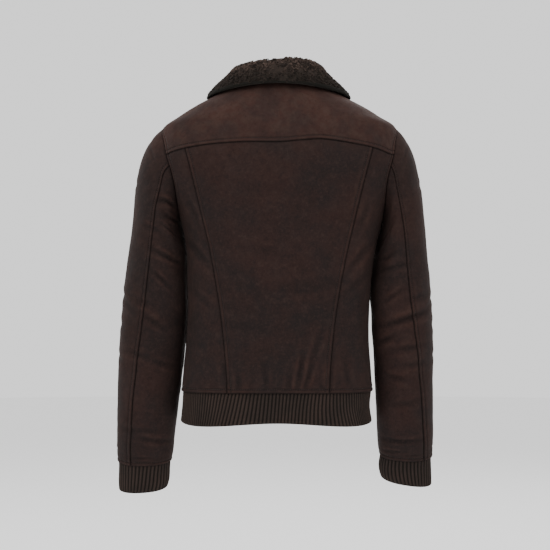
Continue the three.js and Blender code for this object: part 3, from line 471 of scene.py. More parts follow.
def plain_sleeve(side, round_, at):
    at = np.maximum(at, 0)
    point = section_point(row_at(side["sleeve"], "at", at), side["sign"], round_)
    armhole = plain_body(*armhole_place(side["sign"], round_))
    first = section_point(row_at(side["sleeve"], "at", np.zeros_like(at)), side["sign"], round_)
    left = 1 - smooth(at, 0, ARMHOLE_FADE)
    return point + (armhole - first) * left[..., None]


def sleeve_normal(side, round_, at):
    place = np.clip(at, 0.05, SLEEVE_END - 0.05)
    return side["sign"] * normal_of(lambda u, v: plain_sleeve(side, u, v), round_, place, 1, 0.05)


def sleeve_folds(side, round_, at, folds, profile):
    """How far folds move a point of a sleeve out."""
    depth = 0
    for fold in fold_rows(folds):
        if fold["side"] in (0, side["sign"]):
            turn = (round_ - fold["round"] + 540) % 360 - 180
            aside = (at - fold["at"] - fold["slope"] * turn) / fold["wide"]
            depth = depth + fold["deep"] * np.exp(-((turn / fold["long"]) ** 2)) * profile(aside)
    return depth * smooth(at, 0, 1.5) * (1 - smooth(at, SLEEVE_END - 0.8, SLEEVE_END))


def seen_creases(side):
    """The photograph's creases of one sleeve, laid on it as the camera sees it."""
    round_, at = np.meshgrid(np.linspace(10, 200, 191), np.linspace(0.2, SLEEVE_END - 0.1, 500))
    normal = sleeve_normal(side, round_, at)
    depth = sleeve_folds(side, round_, at, SLEEVE_FOLDS, soft_fold)
    point = MM * (plain_sleeve(side, round_, at) + normal * depth[..., None])
    scale = PHOTO_SIZE * CAMERA_LENS / SENSOR_WIDTH / (CAMERA_PLACE[1] - point[..., 1])
    x = PHOTO_SIZE / 2 - (point[..., 0] - CAMERA_PLACE[0]) * scale
    y = PHOTO_SIZE / 2 - (point[..., 2] - CAMERA_PLACE[2]) * scale
    hidden = np.where(normal[..., 1] > 0.05, 0, PHOTO_SIZE)
    rows = []
    for seen in fold_rows(SEEN_CREASES):
        if seen["side"] == side["sign"]:
            away = [np.hypot(x - seen["x" + end], y - seen["y" + end]) + hidden for end in "01"]
            first, last = (np.unravel_index(a.argmin(), a.shape) for a in away)
            turn = round_[last] - round_[first]
            long = max(CREASE_SHARE * abs(turn), SHORTEST_CREASE)
            middle = (at[first] + at[last]) / 2, (round_[first] + round_[last]) / 2
            slope = (at[last] - at[first]) / turn
            rows.append((side["sign"], *middle, long, seen["wide"], slope, seen["deep"]))
    return table(" ".join(SLEEVE_CREASES), *rows)


def sleeve_creases(side, round_, at):
    tables = SLEEVE_CREASES, side["creases"]
    return sum(sleeve_folds(side, round_, at, creases, pinched_fold) for creases in tables)


def sleeve_point(side, round_, at):
    point = plain_sleeve(side, round_, at)
    depth = sleeve_folds(side, round_, at, SLEEVE_FOLDS, soft_fold) + sleeve_creases(side, round_, at)
    point = point + sleeve_normal(side, round_, at) * depth[..., None]
    x, y, z = np.moveaxis(point, -1, 0)
    away = np.abs(x) - body_reach(side["sign"], y, z) - SLEEVE_CLEARANCE
    pushed = (np.hypot(away, SLEEVE_PRESS) - away) / 2
    return np.stack([x + side["sign"] * pushed * smooth(at, 0, 0.7), y, z], -1)


def armhole_mitre(side, round_):
    """Both sides of the armhole seam are cut along this direction, halfway between their own."""
    angle, ring = armhole_place(side["sign"], round_)
    return unit(body_normal(angle, ring) + sleeve_normal(side, round_, np.zeros_like(round_)))


LEFT = {"name": "left", "sign": 1, "sleeve": SLEEVE_LEFT, "cuff": CUFF_LEFT}
RIGHT = {"name": "right", "sign": -1, "sleeve": SLEEVE_RIGHT, "cuff": CUFF_RIGHT}
for side in (LEFT, RIGHT):
    side["creases"] = seen_creases(side)

# Places of the panels: functions of u across and v up, both from 0 to 1
YOKE_END_ANGLE, YOKE_END_RING = (float(x) for x in armhole_place(1, YOKE_END))
SHOULDER_ANGLE, SHOULDER_RING = (float(x) for x in armhole_place(1, SHOULDER_SEAM))


def yoke_ring(angle):
    share = np.clip(angle / YOKE_END_ANGLE, -1, 1)
    return lerp(YOKE_CENTRE, YOKE_END_RING, np.abs(share) ** 1.5) + row_at(YOKE_LIFT, "share", share)["lift"]


def back_ring(angle, share):
    return HEM_SEAM + (yoke_ring(angle) - HEM_SEAM) * share


def slant_place(sign, share):
    angle = np.full_like(share, sign * 50.0)
    for _ in range(12):
        ring = back_ring(angle, share)
        climbed = np.clip((ring - HEM_SEAM) / (YOKE_CENTRE - HEM_SEAM), 0, 1)
        rise = (SLANT["top"] - SLANT["bottom"]) * climbed ** SLANT["bend"]
        x = sign * (SLANT["bottom"] + rise + SLANT[sign] * climbed)
        angle = angle_for_x(row_at(BODY, "side", ring), x, False)
    return angle


def back_centre_place(u, v):
    angle = lerp(slant_place(-1, v), slant_place(1, v), u)
    return angle, back_ring(angle, v)


def back_side_place(sign):
    def place(u, v):
        edge_ring = HEM_SEAM + (YOKE_END_RING - HEM_SEAM) * v
        climbed = np.clip((edge_ring - ARMPIT) / (SHOULDER_TIP - ARMPIT), 0, 1) ** (1 / ARMHOLE_BEND)
        back = np.sin(np.arccos(np.clip(2 * climbed - 1, -1, 1)))
        angle = lerp(slant_place(sign, v), sign * (90 - ARMHOLE_BACK * back), u)
        return angle, lerp(back_ring(angle, v), edge_ring, u**6)

    return place


YOKE_ROWS = (6, 12)  # row numbers at which the armhole and the shoulder seam end
YOKE_SHOULDER_CENTRE = -82
FRONT_ROWS = (11, 22, 28)  # row numbers at which the side seam, the armhole and the shoulder seam end
FRONT_SHOULDER_CENTRE = -92


def yoke_place(u, v):
    share, row = 2 * u - 1, v * YOKE_ROWS[1]
    round_ = lerp(YOKE_END, SHOULDER_SEAM, np.minimum(row / YOKE_ROWS[0], 1))
    angle, ring = armhole_place(1, round_)
    up = np.clip((row - YOKE_ROWS[0]) / (YOKE_ROWS[1] - YOKE_ROWS[0]), 0, 1)
    ring = lerp(ring, NECK_SEAM, up)
    centre = np.interp(row, (0, *YOKE_ROWS), (YOKE_CENTRE, YOKE_SHOULDER_CENTRE, NECK_SEAM))
    lift = row_at(YOKE_LIFT, "share", share)["lift"] * (1 - v)
    return share * angle, lerp(centre, ring, np.abs(share) ** 1.5) + lift


def front_place(sign):
    def place(u, v):
        row = v * FRONT_ROWS[2]
        side_end, armhole_end, shoulder_end = FRONT_ROWS
        below = row < side_end
        angle, ring = armhole_place(sign, 180 + 15 * np.clip(row - side_end, 0, armhole_end - side_end))
        ring = np.where(below, lerp(HEM_SEAM, ARMPIT, row / side_end), ring)
        up = np.clip((row - armhole_end) / (shoulder_end - armhole_end), 0, 1)
        ring = lerp(ring, NECK_SEAM, up)
        zip_ring = np.interp(row, (0, *FRONT_ROWS), (HEM_SEAM, ARMPIT, FRONT_SHOULDER_CENTRE, NECK_SEAM))
        zip_angle = angle_for_x(row_at(BODY, "side", zip_ring), np.float64(sign * ZIP_HALF_OPENING), True)
        return lerp(angle, zip_angle, u), lerp(ring, zip_ring, smooth(u, 0, 1))

    return place


def sleeve_seams(side, at):
    back = row_at(side["sleeve"], "at", at)["backSeam"]
    return back, lerp(FRONT_SEAM_TOP, FRONT_SEAM_END, smooth(at, 0, SLEEVE_END))


def sleeve_top_place(side):
    def place(u, v):
        back, front = sleeve_seams(side, v * SLEEVE_END)
        return lerp(front - 360, back, u), v * SLEEVE_END

    return place


def sleeve_under_place(side):
    def place(u, v):
        back, front = sleeve_seams(side, v * SLEEVE_END)
        return lerp(back, front, u), v * SLEEVE_END

    return place


def lengths_along(points, axis):
    steps = np.linalg.norm(np.diff(points, axis=axis), axis=-1)
    total = np.cumsum(steps, axis)
    return np.concatenate([np.zeros_like(np.take(total, [0], axis)), total], axis)


def stops(length, low, high, step):
    """Distances along lines of some lengths: given ones from both ends, and even steps between."""
    fit = np.minimum(1, 0.45 * length / max(low[-1], high[-1]))[:, None]
    near, far = fit * low, length[:, None] - fit * high[::-1]
    count = max(int(round((far[:, 0] - near[:, -1]).mean() / step)), 2)
    between = lerp(near[:, -1:], far[:, :1], np.linspace(0, 1, count + 1)[1:-1])
    return np.hstack([near, between, far])


def fitted_grid(surface, across, upwards, step=GRID_STEP):
    """Places on a surface at set distances from its edges, and the distances from all four."""
    u0, v0 = np.linspace(0, 1, 33), np.linspace(0, 1, 241)
    lengths = lengths_along(surface(*np.meshgrid(u0, v0)), 0)
    rows = stops(lengths[-1], *upwards, step)
    v_rows = np.array([np.interp(rows[i], lengths[:, i], v0) for i in range(len(u0))])
    dense = np.linspace(0, 1, 161)
    v_dense = np.array([np.interp(dense, u0, column) for column in v_rows.T])
    up = np.array([np.interp(dense, u0, column) for column in rows.T])
    total_up = np.interp(dense, u0, lengths[-1])
    run = lengths_along(surface(np.broadcast_to(dense, v_dense.shape), v_dense), 1)
    columns = stops(run[:, -1], *across, step)
    u = np.array([np.interp(columns[k], run[k], dense) for k in range(len(columns))])
    v = np.array([np.interp(u[k], dense, v_dense[k]) for k in range(len(u))])
    from_low = np.array([np.interp(u[k], dense, up[k]) for k in range(len(u))])
    from_high = np.array([np.interp(u[k], dense, total_up) for k in range(len(u))]) - from_low
    return u, v, {
        "u0": columns,
        "u1": run[:, -1:] - columns,
        "v0": from_low,
        "v1": from_high,
    }


def lapped(d):
    """The relief of a lapped edge by the distance from it: a turned edge, a ridge and a groove."""
    ridge = 0.95 * (1 - smooth(d, 4.6, 7.0)) * smooth(d, -0.6, 1.6)
    groove = -0.75 * np.exp(-(((d - STITCH_LINE) / 1.0) ** 2))
    return ridge + groove + 0.5 * np.exp(-(((d - 11.5) / 3.4) ** 2)) - 1.0 * np.exp(-((d / 0.6) ** 2))


def tucked(d):
    """The relief of an edge that goes under a lapped one, or meets another in a plain seam."""
    return -1.5 * np.exp(-((d / 1.5) ** 2)) + 0.3 * np.exp(-(((d - 4.5) / 2.5) ** 2))


def pucker(points, d):
    """Short ripples where stitches have drawn the suede together."""
    return 0.42 * noise(points, 9.0, 3) * np.exp(-(((d - STITCH_LINE) / 6.0) ** 2))


def relief_of(points, distances, edges, along_armhole):
    """How far each point of a panel stands out, how much it is on a seam's ridge, and how much painted shade it gets
    along the seam's edge and in its stitch groove.
    """
    depth = 1.1 * noise(points, 62, 1) + 0.55 * noise(points, 24, 2) + 0.2 * noise(points, 10, 4)
    seams, ridge, painted_shade = 0, 0, 0
    for edge, kind in edges.items():
        d = distances[edge]
        share = {"lapped": 1.0, "tucked": 0.0, "armhole": along_armhole}[kind]
        depth = depth * smooth(d, 0, 9)
        seams = seams + lerp(tucked(d), lapped(d) + pucker(points, d), share)
        ridge = np.maximum(ridge, share * (1 - smooth(d, 4.4, 7.4)))
        # Painted shade, darker along each seam's edge and in its stitch groove.
        groove_shade = 0.5 * share * np.exp(-(((d - STITCH_LINE) / 1.3) ** 2))
        painted_shade = np.maximum(painted_shade, np.maximum(0.95 * np.exp(-((d / 1.7) ** 2)), groove_shade))
    return depth + seams, ridge, painted_shade


def new_mesh(name, vertices, faces, materials, indices=None, attributes=None, flat=None):
    mesh = bpy.data.meshes.new(name)
    mesh.from_pydata((vertices * MM).tolist(), [], faces.tolist() if hasattr(faces, "tolist") else faces)
    for material in materials:
        mesh.materials.append(material)
    if indices is not None:
        mesh.polygons.foreach_set("material_index", np.asarray(indices, np.int32))
    for key, values in (attributes or {}).items():
        mesh.attributes.new(key, "FLOAT", "POINT").data.foreach_set("value", values.astype(np.float32))
    if flat is not None:
        corners = np.empty(len(mesh.loops), np.int32)
        mesh.loops.foreach_get("vertex_index", corners)
        layer = mesh.uv_layers.new(name="flat")
        layer.data.foreach_set("uv", flat[corners].astype(np.float32).ravel())
    mesh.shade_smooth()
    mesh.update()
    piece = bpy.data.objects.new(name, mesh)
    bpy.context.scene.collection.objects.link(piece)
    return piece


def turned_out(vertices, faces):
    """Faces of a closed mesh, turned so that they point out."""
    a, b, c = vertices[faces[:, 0]], vertices[faces[:, 1]], vertices[faces[:, 2]]
    volume = (a * np.cross(b, c)).sum()
    if faces.shape[1] == 4:
        d = vertices[faces[:, 3]]
        volume += (a * np.cross(c, d)).sum()
    return faces[:, ::-1] if volume < 0 else faces


def quads(grid):
    return np.stack([grid[:-1, :-1], grid[:-1, 1:], grid[1:, 1:], grid[1:, :-1]], -1).reshape(-1, 4)


def wall_mesh(name, outer, inner, materials, attributes, flat, inner_attributes={}):
    """A closed wall from its outer and inner grids: the inner side takes the second material."""
    rows, columns = outer.shape[:2]
    front = np.arange(rows * columns).reshape(rows, columns)
    rear = front + rows * columns
    rim = np.concatenate([front[0, :-1], front[:-1, -1], front[-1, :0:-1], front[:0:-1, 0]])
    rim_next = np.roll(rim, -1)
    shift = rows * columns
    faces = np.concatenate([
        quads(front),
        quads(rear)[:, ::-1],
        np.stack([rim_next, rim, rim + shift, rim_next + shift], -1),
    ])
    vertices = np.concatenate([outer.reshape(-1, 3), inner.reshape(-1, 3)])
    inside = (rows - 1) * (columns - 1)
    indices = np.concatenate([np.zeros(inside), np.ones(inside), np.ones(len(rim))])
    both = {
        key: np.concatenate([v.ravel(), inner_attributes.get(key, np.zeros(shift)).ravel()])
        for key, v in attributes.items()
    }
    return new_mesh(
        name, vertices, turned_out(vertices, faces), materials, indices, both,
        np.concatenate([flat.reshape(-1, 2)] * 2),
    )


class Shader:
    """A node material in the making: add() makes a node, and inputs are values or other sockets."""

    def __init__(self, name):
        self.material = bpy.data.materials.new(name)
        self.material.use_nodes = True
        self.nodes = self.material.node_tree.nodes
        self.links = self.material.node_tree.links
        self.surface = self.nodes["Principled BSDF"]
        self.place = self.add("TexCoord").outputs["Object"]

    def put(self, socket, value):
        if isinstance(value, bpy.types.NodeSocket):
            self.links.new(value, socket)
        else:
            socket.default_value = value

    def add(self, kind, inputs=None, **settings):
        node = self.nodes.new("ShaderNode" + kind)
        for key, value in settings.items():
            setattr(node, key, value)
        for key, value in (inputs or {}).items():
            self.put(node.inputs[key], value)
        return node

    def noise(self, scale, detail=3.0, roughness=0.55, place=None):
        values = {"Vector": place or self.place, "Scale": scale, "Detail": detail, "Roughness": roughness}
        return self.add("TexNoise", values).outputs["Fac"]

    def math(self, operation, *values):
        return self.add("Math", dict(enumerate(values)), operation=operation).outputs[0]

    def range(self, value, low, high, to_low=0.0, to_high=1.0):
        inputs = {"Value": value, "From Min": low, "From Max": high, "To Min": to_low, "To Max": to_high}
        return self.add("MapRange", inputs, interpolation_type="SMOOTHSTEP").outputs["Result"]

    def mix(self, share, a, b, blend="MIX"):
        node = self.add("Mix", data_type="RGBA", blend_type=blend)
        for key, value in (("Factor_Float", share), ("A_Color", a), ("B_Color", b)):
            self.put(next(s for s in node.inputs if s.identifier == key), value)
        return next(s for s in node.outputs if s.identifier == "Result_Color")

    def attribute(self, name):
        return self.add("Attribute", attribute_name=name).outputs["Fac"]

    def bump(self, height, strength, distance, normal=None):
        inputs = {"Height": height, "Strength": strength, "Distance": distance}
        if normal is not None:
            inputs["Normal"] = normal
        return self.add("Bump", inputs).outputs["Normal"]

    def finish(self, **inputs):
        for key, value in inputs.items():
            self.put(self.surface.inputs[key.replace("_", " ")], value)
        return self.material


def rgb(red, green, blue):
    """A colour as the eye reads it, 0 to 255, in the linear values that shaders take."""
    share = np.array([red, green, blue]) / 255
    linear = np.where(share <= 0.04045, share / 12.92, ((share + 0.055) / 1.055) ** 2.4)
    return (*(float(x) for x in linear), 1.0)


def suede_material():
    s = Shader("suede")
    broad, patch, mottle = s.noise(6.5, 2.0), s.noise(21.0, 3.0, 0.6), s.noise(75.0, 4.0, 0.65)
    fleck, grain, nap = s.noise(190.0, 3.0, 0.65), s.noise(420.0, 3.0, 0.7), s.noise(1500.0, 2.0, 0.6)
    colour = s.mix(s.range(patch, 0.36, 0.64), rgb(28, 21, 20), rgb(35, 25, 23))
    colour = s.mix(s.math("MULTIPLY", s.range(broad, 0.48, 0.66), 0.7), colour, rgb(41, 27, 24))
    colour = s.mix(s.math("MULTIPLY", s.range(mottle, 0.5, 0.72), 0.42), colour, rgb(46, 34, 31))
    colour = s.mix(s.math("MULTIPLY", s.range(mottle, 0.5, 0.3), 0.42), colour, rgb(22, 18, 18))
    # Lighter and redder where rubbed: rubbed wear, plus painted highlight on ridges and painted light from above on the
    # shoulders.
    wear_and_painted_light = s.math("MULTIPLY", s.attribute("wear_and_painted_light"), s.range(patch, 0.3, 0.62, 0.55, 1.0))
    colour = s.mix(wear_and_painted_light, colour, s.mix(s.range(mottle, 0.4, 0.62), rgb(66, 42, 36), rgb(70, 50, 43)))
    # Painted shade, near black in seam edges, stitch grooves and crease valleys; also the collar's own dark sheared
    # edge.
    colour = s.mix(s.math("MULTIPLY", s.attribute("deep"), 0.85), colour, rgb(11, 8, 8))
    colour = s.mix(s.math("MULTIPLY", s.range(fleck, 0.52, 0.72), 0.26), colour, rgb(58, 43, 39))
    colour = s.mix(s.math("MULTIPLY", s.range(fleck, 0.48, 0.3), 0.26), colour, rgb(14, 11, 11))
    colour = s.mix(s.math("MULTIPLY", s.range(grain, 0.4, 0.7), 0.2), colour, rgb(54, 39, 34))
    height = s.math("ADD", s.math("MULTIPLY", grain, 0.7), s.math("MULTIPLY", nap, 0.3))
    normal = s.bump(s.noise(130.0, 4.0, 0.6), 0.35, 0.0012)
    normal = s.bump(height, 0.5, 0.0005, normal)
    return s.finish(
        Base_Color=colour, Roughness=s.range(patch, 0.3, 0.7, 0.78, 0.92), Normal=normal,
        Specular_IOR_Level=0.12,
        Sheen_Weight=0.05, Sheen_Roughness=0.4, Sheen_Tint=rgb(190, 160, 150),
    )


def wool_material(name, low, high, tint):
    s = Shader(name)
    curl, strand, patch = s.noise(260.0, 3.0, 0.6), s.noise(900.0, 2.0, 0.6), s.noise(28.0, 3.0)
    colour = s.mix(s.range(curl, 0.34, 0.66), low, high)
    colour = s.mix(s.math("MULTIPLY", s.range(patch, 0.4, 0.66), 0.4), colour, tint)
    # Lighter curls: a random tone per curl plus a painted highlight towards each curl's tip, held back by painted shade
    # low on the roll.
    colour = s.mix(s.attribute("tone_and_painted_light"), colour, rgb(104, 86, 77))
    # The dark close-sheared edge, and painted shade low on the roll where it turns under.
    colour = s.mix(s.attribute("deep"), colour, rgb(23, 22, 19))
    normal = s.bump(curl, 0.7, 0.0015)
    normal = s.bump(strand, 0.6, 0.0005, normal)
    return s.finish(
        Base_Color=colour, Roughness=0.95, Normal=normal, Specular_IOR_Level=0.12,
        Sheen_Weight=0.06, Sheen_Roughness=0.5, Sheen_Tint=rgb(190, 176, 166),
    )


def knit_material():
    """Ribs are in the mesh. The flat map runs in ribs across and in millimetres down."""
    s = Shader("rib_knit")
    across, down, _ = s.add("SeparateXYZ", {"Vector": s.add("UVMap", uv_map="flat").outputs[0]}).outputs
    leaning = s.math("ABSOLUTE", s.math("SUBTRACT", s.math("FRACT", across), 0.5))
    beat = s.math("ADD", s.math("MULTIPLY", down, 2 * np.pi / 2.3), s.math("MULTIPLY", leaning, 5.0))
    stitch = s.math("MULTIPLY", s.math("ADD", s.math("SINE", beat), 1.0), 0.5)
    fuzz, patch = s.noise(800.0, 3.0, 0.7), s.noise(24.0, 3.0)
    colour = s.mix(s.range(patch, 0.36, 0.66), rgb(37, 30, 27), rgb(47, 37, 33))
    colour = s.mix(s.math("MULTIPLY", stitch, 0.4), colour, rgb(57, 47, 42))
    colour = s.mix(s.math("MULTIPLY", s.range(fuzz, 0.45, 0.7), 0.3), colour, rgb(72, 60, 54))
    # Painted shade in the grooves between the ribs.
    colour = s.mix(s.attribute("deep"), colour, rgb(8, 7, 7))
    normal = s.bump(stitch, 0.7, 0.0008)
    normal = s.bump(fuzz, 0.5, 0.0004, normal)
    return s.finish(
        Base_Color=colour, Roughness=0.95, Normal=normal, Specular_IOR_Level=0.12,
        Sheen_Weight=0.05, Sheen_Roughness=0.5, Sheen_Tint=rgb(190, 176, 166),
    )


def thread_material():
    s = Shader("thread")
    colour = s.mix(s.noise(300.0), rgb(28, 20, 18), rgb(46, 33, 29))
    normal = s.bump(s.noise(2500.0), 0.4, 0.0002)
    return s.finish(Base_Color=colour, Roughness=0.7, Normal=normal)


def tape_material():
    s = Shader("zip_tape")
    weave = s.add("TexWave", {"Vector": s.place, "Scale": 420.0, "Distortion": 0.6}, bands_direction="Z").outputs["Fac"]
    colour = s.mix(weave, rgb(20, 16, 15), rgb(34, 27, 25))
    return s.finish(Base_Color=colour, Roughness=0.9, Normal=s.bump(weave, 0.5, 0.0003))


def metal_material():
    s = Shader("zip_metal")
    stain, scratch = s.noise(160.0, 4.0), s.noise(1800.0, 2.0)
    colour = s.mix(s.range(stain, 0.36, 0.66), rgb(120, 100, 74), rgb(176, 150, 112))
    return s.finish(
        Base_Color=colour, Metallic=1.0, Roughness=s.range(scratch, 0.3, 0.7, 0.3, 0.48),
        Normal=s.bump(scratch, 0.15, 0.0002),
    )


SUEDE = suede_material()
INSIDE_WOOL = wool_material("inside_wool", rgb(30, 26, 24), rgb(48, 41, 37), rgb(42, 33, 29))
COLLAR_WOOL = wool_material("collar_wool", rgb(24, 20, 19), rgb(46, 38, 34), rgb(40, 35, 29))
KNIT = knit_material()
THREAD = thread_material()
TAPE = tape_material()
METAL = metal_material()

stitch_lines = []


def dressed(piece, slot, *nodes, body=GARMENT):
    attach(piece, body)
    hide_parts(*nodes)
    return piece


def declared(piece, cut, **more):
    return piece


def panel(name, place, surface, plain, normal_at, creases_at, across, upwards, edges, armhole=None, wear_and_painted_light=0.0):
    """One cut piece of sheepskin. armhole gives how much of each point's edge is the armhole, and the
    direction of the cut there."""
    u, v, distances = fitted_grid(lambda a, b: plain(*place(a, b)), across, upwards)
    a, b = place(u, v)
    points, normals = surface(a, b), normal_at(a, b)
    along = None
    if armhole is not None:
        mitre, along, d = armhole(u, v, distances)
        share = (along * (1 - smooth(d, 0, 12)))[..., None]
        normals = unit(lerp(normals, mitre, share))
    depth, ridge, painted_shade = relief_of(points, distances, edges, along)
    height = points[..., 2]
    outer = points + normals * depth[..., None]
    fleece = 1.1 * noise(points, 6.5, 5) + 0.5 * noise(points, 3.4, 6)
    inner = points - normals * (WALL + fleece)[..., None]
    creases = creases_at(a, b)
    # Painted shade in the valleys of the creases.
    painted_shade = np.maximum(painted_shade, 0.75 * np.clip(-creases / 2.6, 0, 1))
    # Lighter on crease lips, seam ridges and bulges, as painted highlight with rubbed wear, and towards the shoulders,
    # as painted light from above with wear.
    wear_and_painted_light = wear_and_painted_light + 0.45 * np.clip(creases / 0.9, 0, 1) * (0.6 + 0.4 * noise(points, 15, 10))
    wear_and_painted_light = wear_and_painted_light + 0.16 * ridge * (0.5 + 0.5 * noise(points, 17, 7)) + 0.15 * smooth(depth, 0.6, 1.8)
    wear_and_painted_light = wear_and_painted_light + 0.5 * smooth(height, -190, -60) * (0.7 + 0.3 * noise(points, 34, 9))
    flat = np.stack([distances["u0"], distances["v0"]], -1)
    attributes = {"wear_and_painted_light": np.clip(wear_and_painted_light, 0, 1), "deep": painted_shade, "tone_and_painted_light": 0 * painted_shade}
    piece = wall_mesh(name + "_cloth", outer, inner, [SUEDE, INSIDE_WOOL], attributes, flat)
    for edge, kind in edges.items():
        if kind != "tucked":
            take = {
                "u0": np.s_[:, STITCH_INDEX], "u1": np.s_[:, -1 - STITCH_INDEX],
                "v0": np.s_[STITCH_INDEX, :], "v1": np.s_[-1 - STITCH_INDEX, :],
            }[edge]
            shown = np.ones(outer[take].shape[0]) if kind == "lapped" else along[take]
            stitch_lines.append((outer[take], normals[take], shown > 0.6))
    return declared(dressed(piece, "suede", name), name)


def body_surface(name, place, across, upwards, edges, armhole=None, wear_and_painted_light=0.0):
    return panel(
        name, place, body_point, plain_body, body_normal, body_creases, across, upwards, edges, armhole, wear_and_painted_light
    )


ARMHOLE_ENDS = 25  # the armhole's cut turns into the plain seams' over this much


def back_side_armhole(side):
    def cut(u, v, distances):
        edge_ring = HEM_SEAM + (YOKE_END_RING - HEM_SEAM) * v
        climbed = np.clip((edge_ring - ARMPIT) / (SHOULDER_TIP - ARMPIT), 0, 1) ** (1 / ARMHOLE_BEND)
        round_ = np.degrees(np.arccos(np.clip(2 * climbed - 1, -1, 1)))
        along = smooth(edge_ring, ARMPIT - ARMHOLE_ENDS, ARMPIT)
        return armhole_mitre(side, round_), along, distances["u1"]

    return cut


def yoke_armhole(u, v, distances):
    row = v * YOKE_ROWS[1]
    round_ = lerp(YOKE_END, SHOULDER_SEAM, np.minimum(row / YOKE_ROWS[0], 1))
    mitre = np.where((u > 0.5)[..., None], armhole_mitre(LEFT, round_), armhole_mitre(RIGHT, round_))
    return mitre, 1 - smooth(row, YOKE_ROWS[0], YOKE_ROWS[0] + 1), np.minimum(distances["u0"], distances["u1"])


def front_armhole(side):
    def cut(u, v, distances):
        row = v * FRONT_ROWS[2]
        round_ = 180 + 15 * np.clip(row - FRONT_ROWS[0], 0, FRONT_ROWS[1] - FRONT_ROWS[0])
        along = smooth(row, FRONT_ROWS[0] - 0.85, FRONT_ROWS[0]) * (1 - smooth(row, FRONT_ROWS[1], FRONT_ROWS[1] + 1))
        return armhole_mitre(side, round_), along, distances["u0"]

    return cut


body_surface(
    "back_centre", back_centre_place, (LAPPED, LAPPED), (LAPPED, TUCKED),
    {"u0": "lapped", "u1": "lapped", "v0": "lapped", "v1": "tucked"},
)
for side in (LEFT, RIGHT):
    ends = (TUCKED, LAPPED)
    body_surface(
        "back_side_" + side["name"], back_side_place(side["sign"]), ends, (LAPPED, TUCKED),
        {"u0": "tucked", "u1": "armhole", "v0": "lapped", "v1": "tucked"}, back_side_armhole(side),
    )
body_surface(
    "back_yoke", yoke_place, (LAPPED, LAPPED), (LAPPED, TUCKED),
    {"u0": "armhole", "u1": "armhole", "v0": "lapped", "v1": "tucked"}, yoke_armhole, 0.18,
)
for side in (LEFT, RIGHT):
    body_surface(
        "front_" + side["name"], front_place(side["sign"]), (LAPPED, LAPPED), (LAPPED, TUCKED),
        {"u0": "armhole", "u1": "lapped", "v0": "lapped", "v1": "tucked"}, front_armhole(side),
    )


def sleeve_panel(name, side, place, across, edges):
    def armhole(u, v, distances):
        round_, _ = place(u, v)
        return armhole_mitre(side, round_), np.ones_like(u), distances["v0"]

    return panel(
        name, place,
        lambda a, b: sleeve_point(side, a, b),
        lambda a, b: plain_sleeve(side, a, b),
        lambda a, b: sleeve_normal(side, a, b),
        lambda a, b: sleeve_creases(side, a, b),
        across, (TUCKED, LAPPED), edges, armhole,
    )


for side in (LEFT, RIGHT):
    sleeve_panel(
        "sleeve_top_" + side["name"], side, sleeve_top_place(side), (TUCKED, LAPPED),
        {"u0": "tucked", "u1": "lapped", "v0": "tucked", "v1": "lapped"},
    )
    sleeve_panel(
        "sleeve_under_" + side["name"], side, sleeve_under_place(side), (TUCKED, TUCKED),
        {"u0": "tucked", "u1": "tucked", "v0": "tucked", "v1": "lapped"},
    )

# Ribbed knit. A band is a loop in section: down its outside, round the fold at its edge and up its
# inside, with ribs on both. The columns run round it.
RIB_STEPS = 6
BAND_ROWS = 17
FOLD_ROWS = 5
ALLOWANCE = 3.5


def rib_shape(columns):
    """How far a rib stands out of its band, from -1 to 0, with narrow grooves between the ribs."""
    return (0.5 + 0.5 * np.cos(2 * np.pi * columns)) ** 0.75 - 1


def band_profile():
    """Rows of a band's section: how far down it is, how far above its seam, how far in from its face,
    and how much the ribs show. It starts with the part that is sewn in between the wall's faces."""
    thick = RIB_WALL + RIB_HEIGHT
    turn = radians(np.linspace(0, 180, FOLD_ROWS + 2)[1:-1])
    rows = [(0, ALLOWANCE, 0.6 * thick, 0), (0, ALLOWANCE, 0.35 * thick, 0), (0, 0.3, 0.3 * thick, 0)]
    rows += [(down, 0, 0, 1) for down in np.linspace(0, 1, BAND_ROWS)]
    rows += [(1, -thick / 2 * np.sin(a), thick / 2 * (1 - np.cos(a)), np.cos(a)) for a in turn]
    rows += [(down, 0, thick, -1) for down in np.linspace(1, 0, BAND_ROWS)]
    rows += [(0, 0.3, 0.65 * thick, 0)]
    return np.array(rows).T


def band(name, face, outward, closed, ribs, slant):
    """face and outward take the places down and round the band, and give the band's outer face and the
    direction out of it."""
    columns = np.arange(ribs * RIB_STEPS + (not closed)) / RIB_STEPS
    grids = np.meshgrid(band_profile()[0], columns, indexing="ij")
    down, column = grids
    _, lift, inward, ribbing = (np.broadcast_to(row[:, None], down.shape) for row in band_profile())
    place = column + slant(column / ribs, down)
    around = (place if closed else np.clip(place, 0, ribs)) / ribs
    surface, out = face(down, around), outward(down, around)
    up = unit(face(0.9 * down, around) - face(0.9 * down + 0.1, around))
    end = RIB_WALL / 2 * smooth(down, 0.85, 1)
    ribs_out = RIB_HEIGHT * rib_shape(column) * ribbing + 0.16 * noise(surface, 3.0, 8)
    points = surface + out * (ribs_out - inward)[..., None] + up * (lift + end)[..., None]
    index = np.arange(points[..., 0].size).reshape(down.shape)
    ring = np.concatenate([index, index[:1]])
    if closed:
        ring = np.concatenate([ring, ring[:, :1]], 1)
    vertices, sides = points.reshape(-1, 3), quads(ring)
    faces = turned_out(vertices, sides)
    turned = not np.array_equal(faces, sides)
    faces = faces.tolist()
    if not closed:
        ends = [index[::-1, 0], index[:, -1]]
        faces += [(end_[::-1] if turned else end_).tolist() for end_ in ends]
    # Painted shade for the grooves between the ribs.
    deep = 0.95 * smooth(-rib_shape(column), 0.3, 0.9) * np.abs(ribbing)
    flat = np.stack([column, lengths_along(surface, 0)], -1).reshape(-1, 2)
    piece = new_mesh(name + "_knit", vertices, faces, [KNIT], None, {"deep": deep.ravel()}, flat)
    return declared(dressed(piece, "rib_knit", name), name)


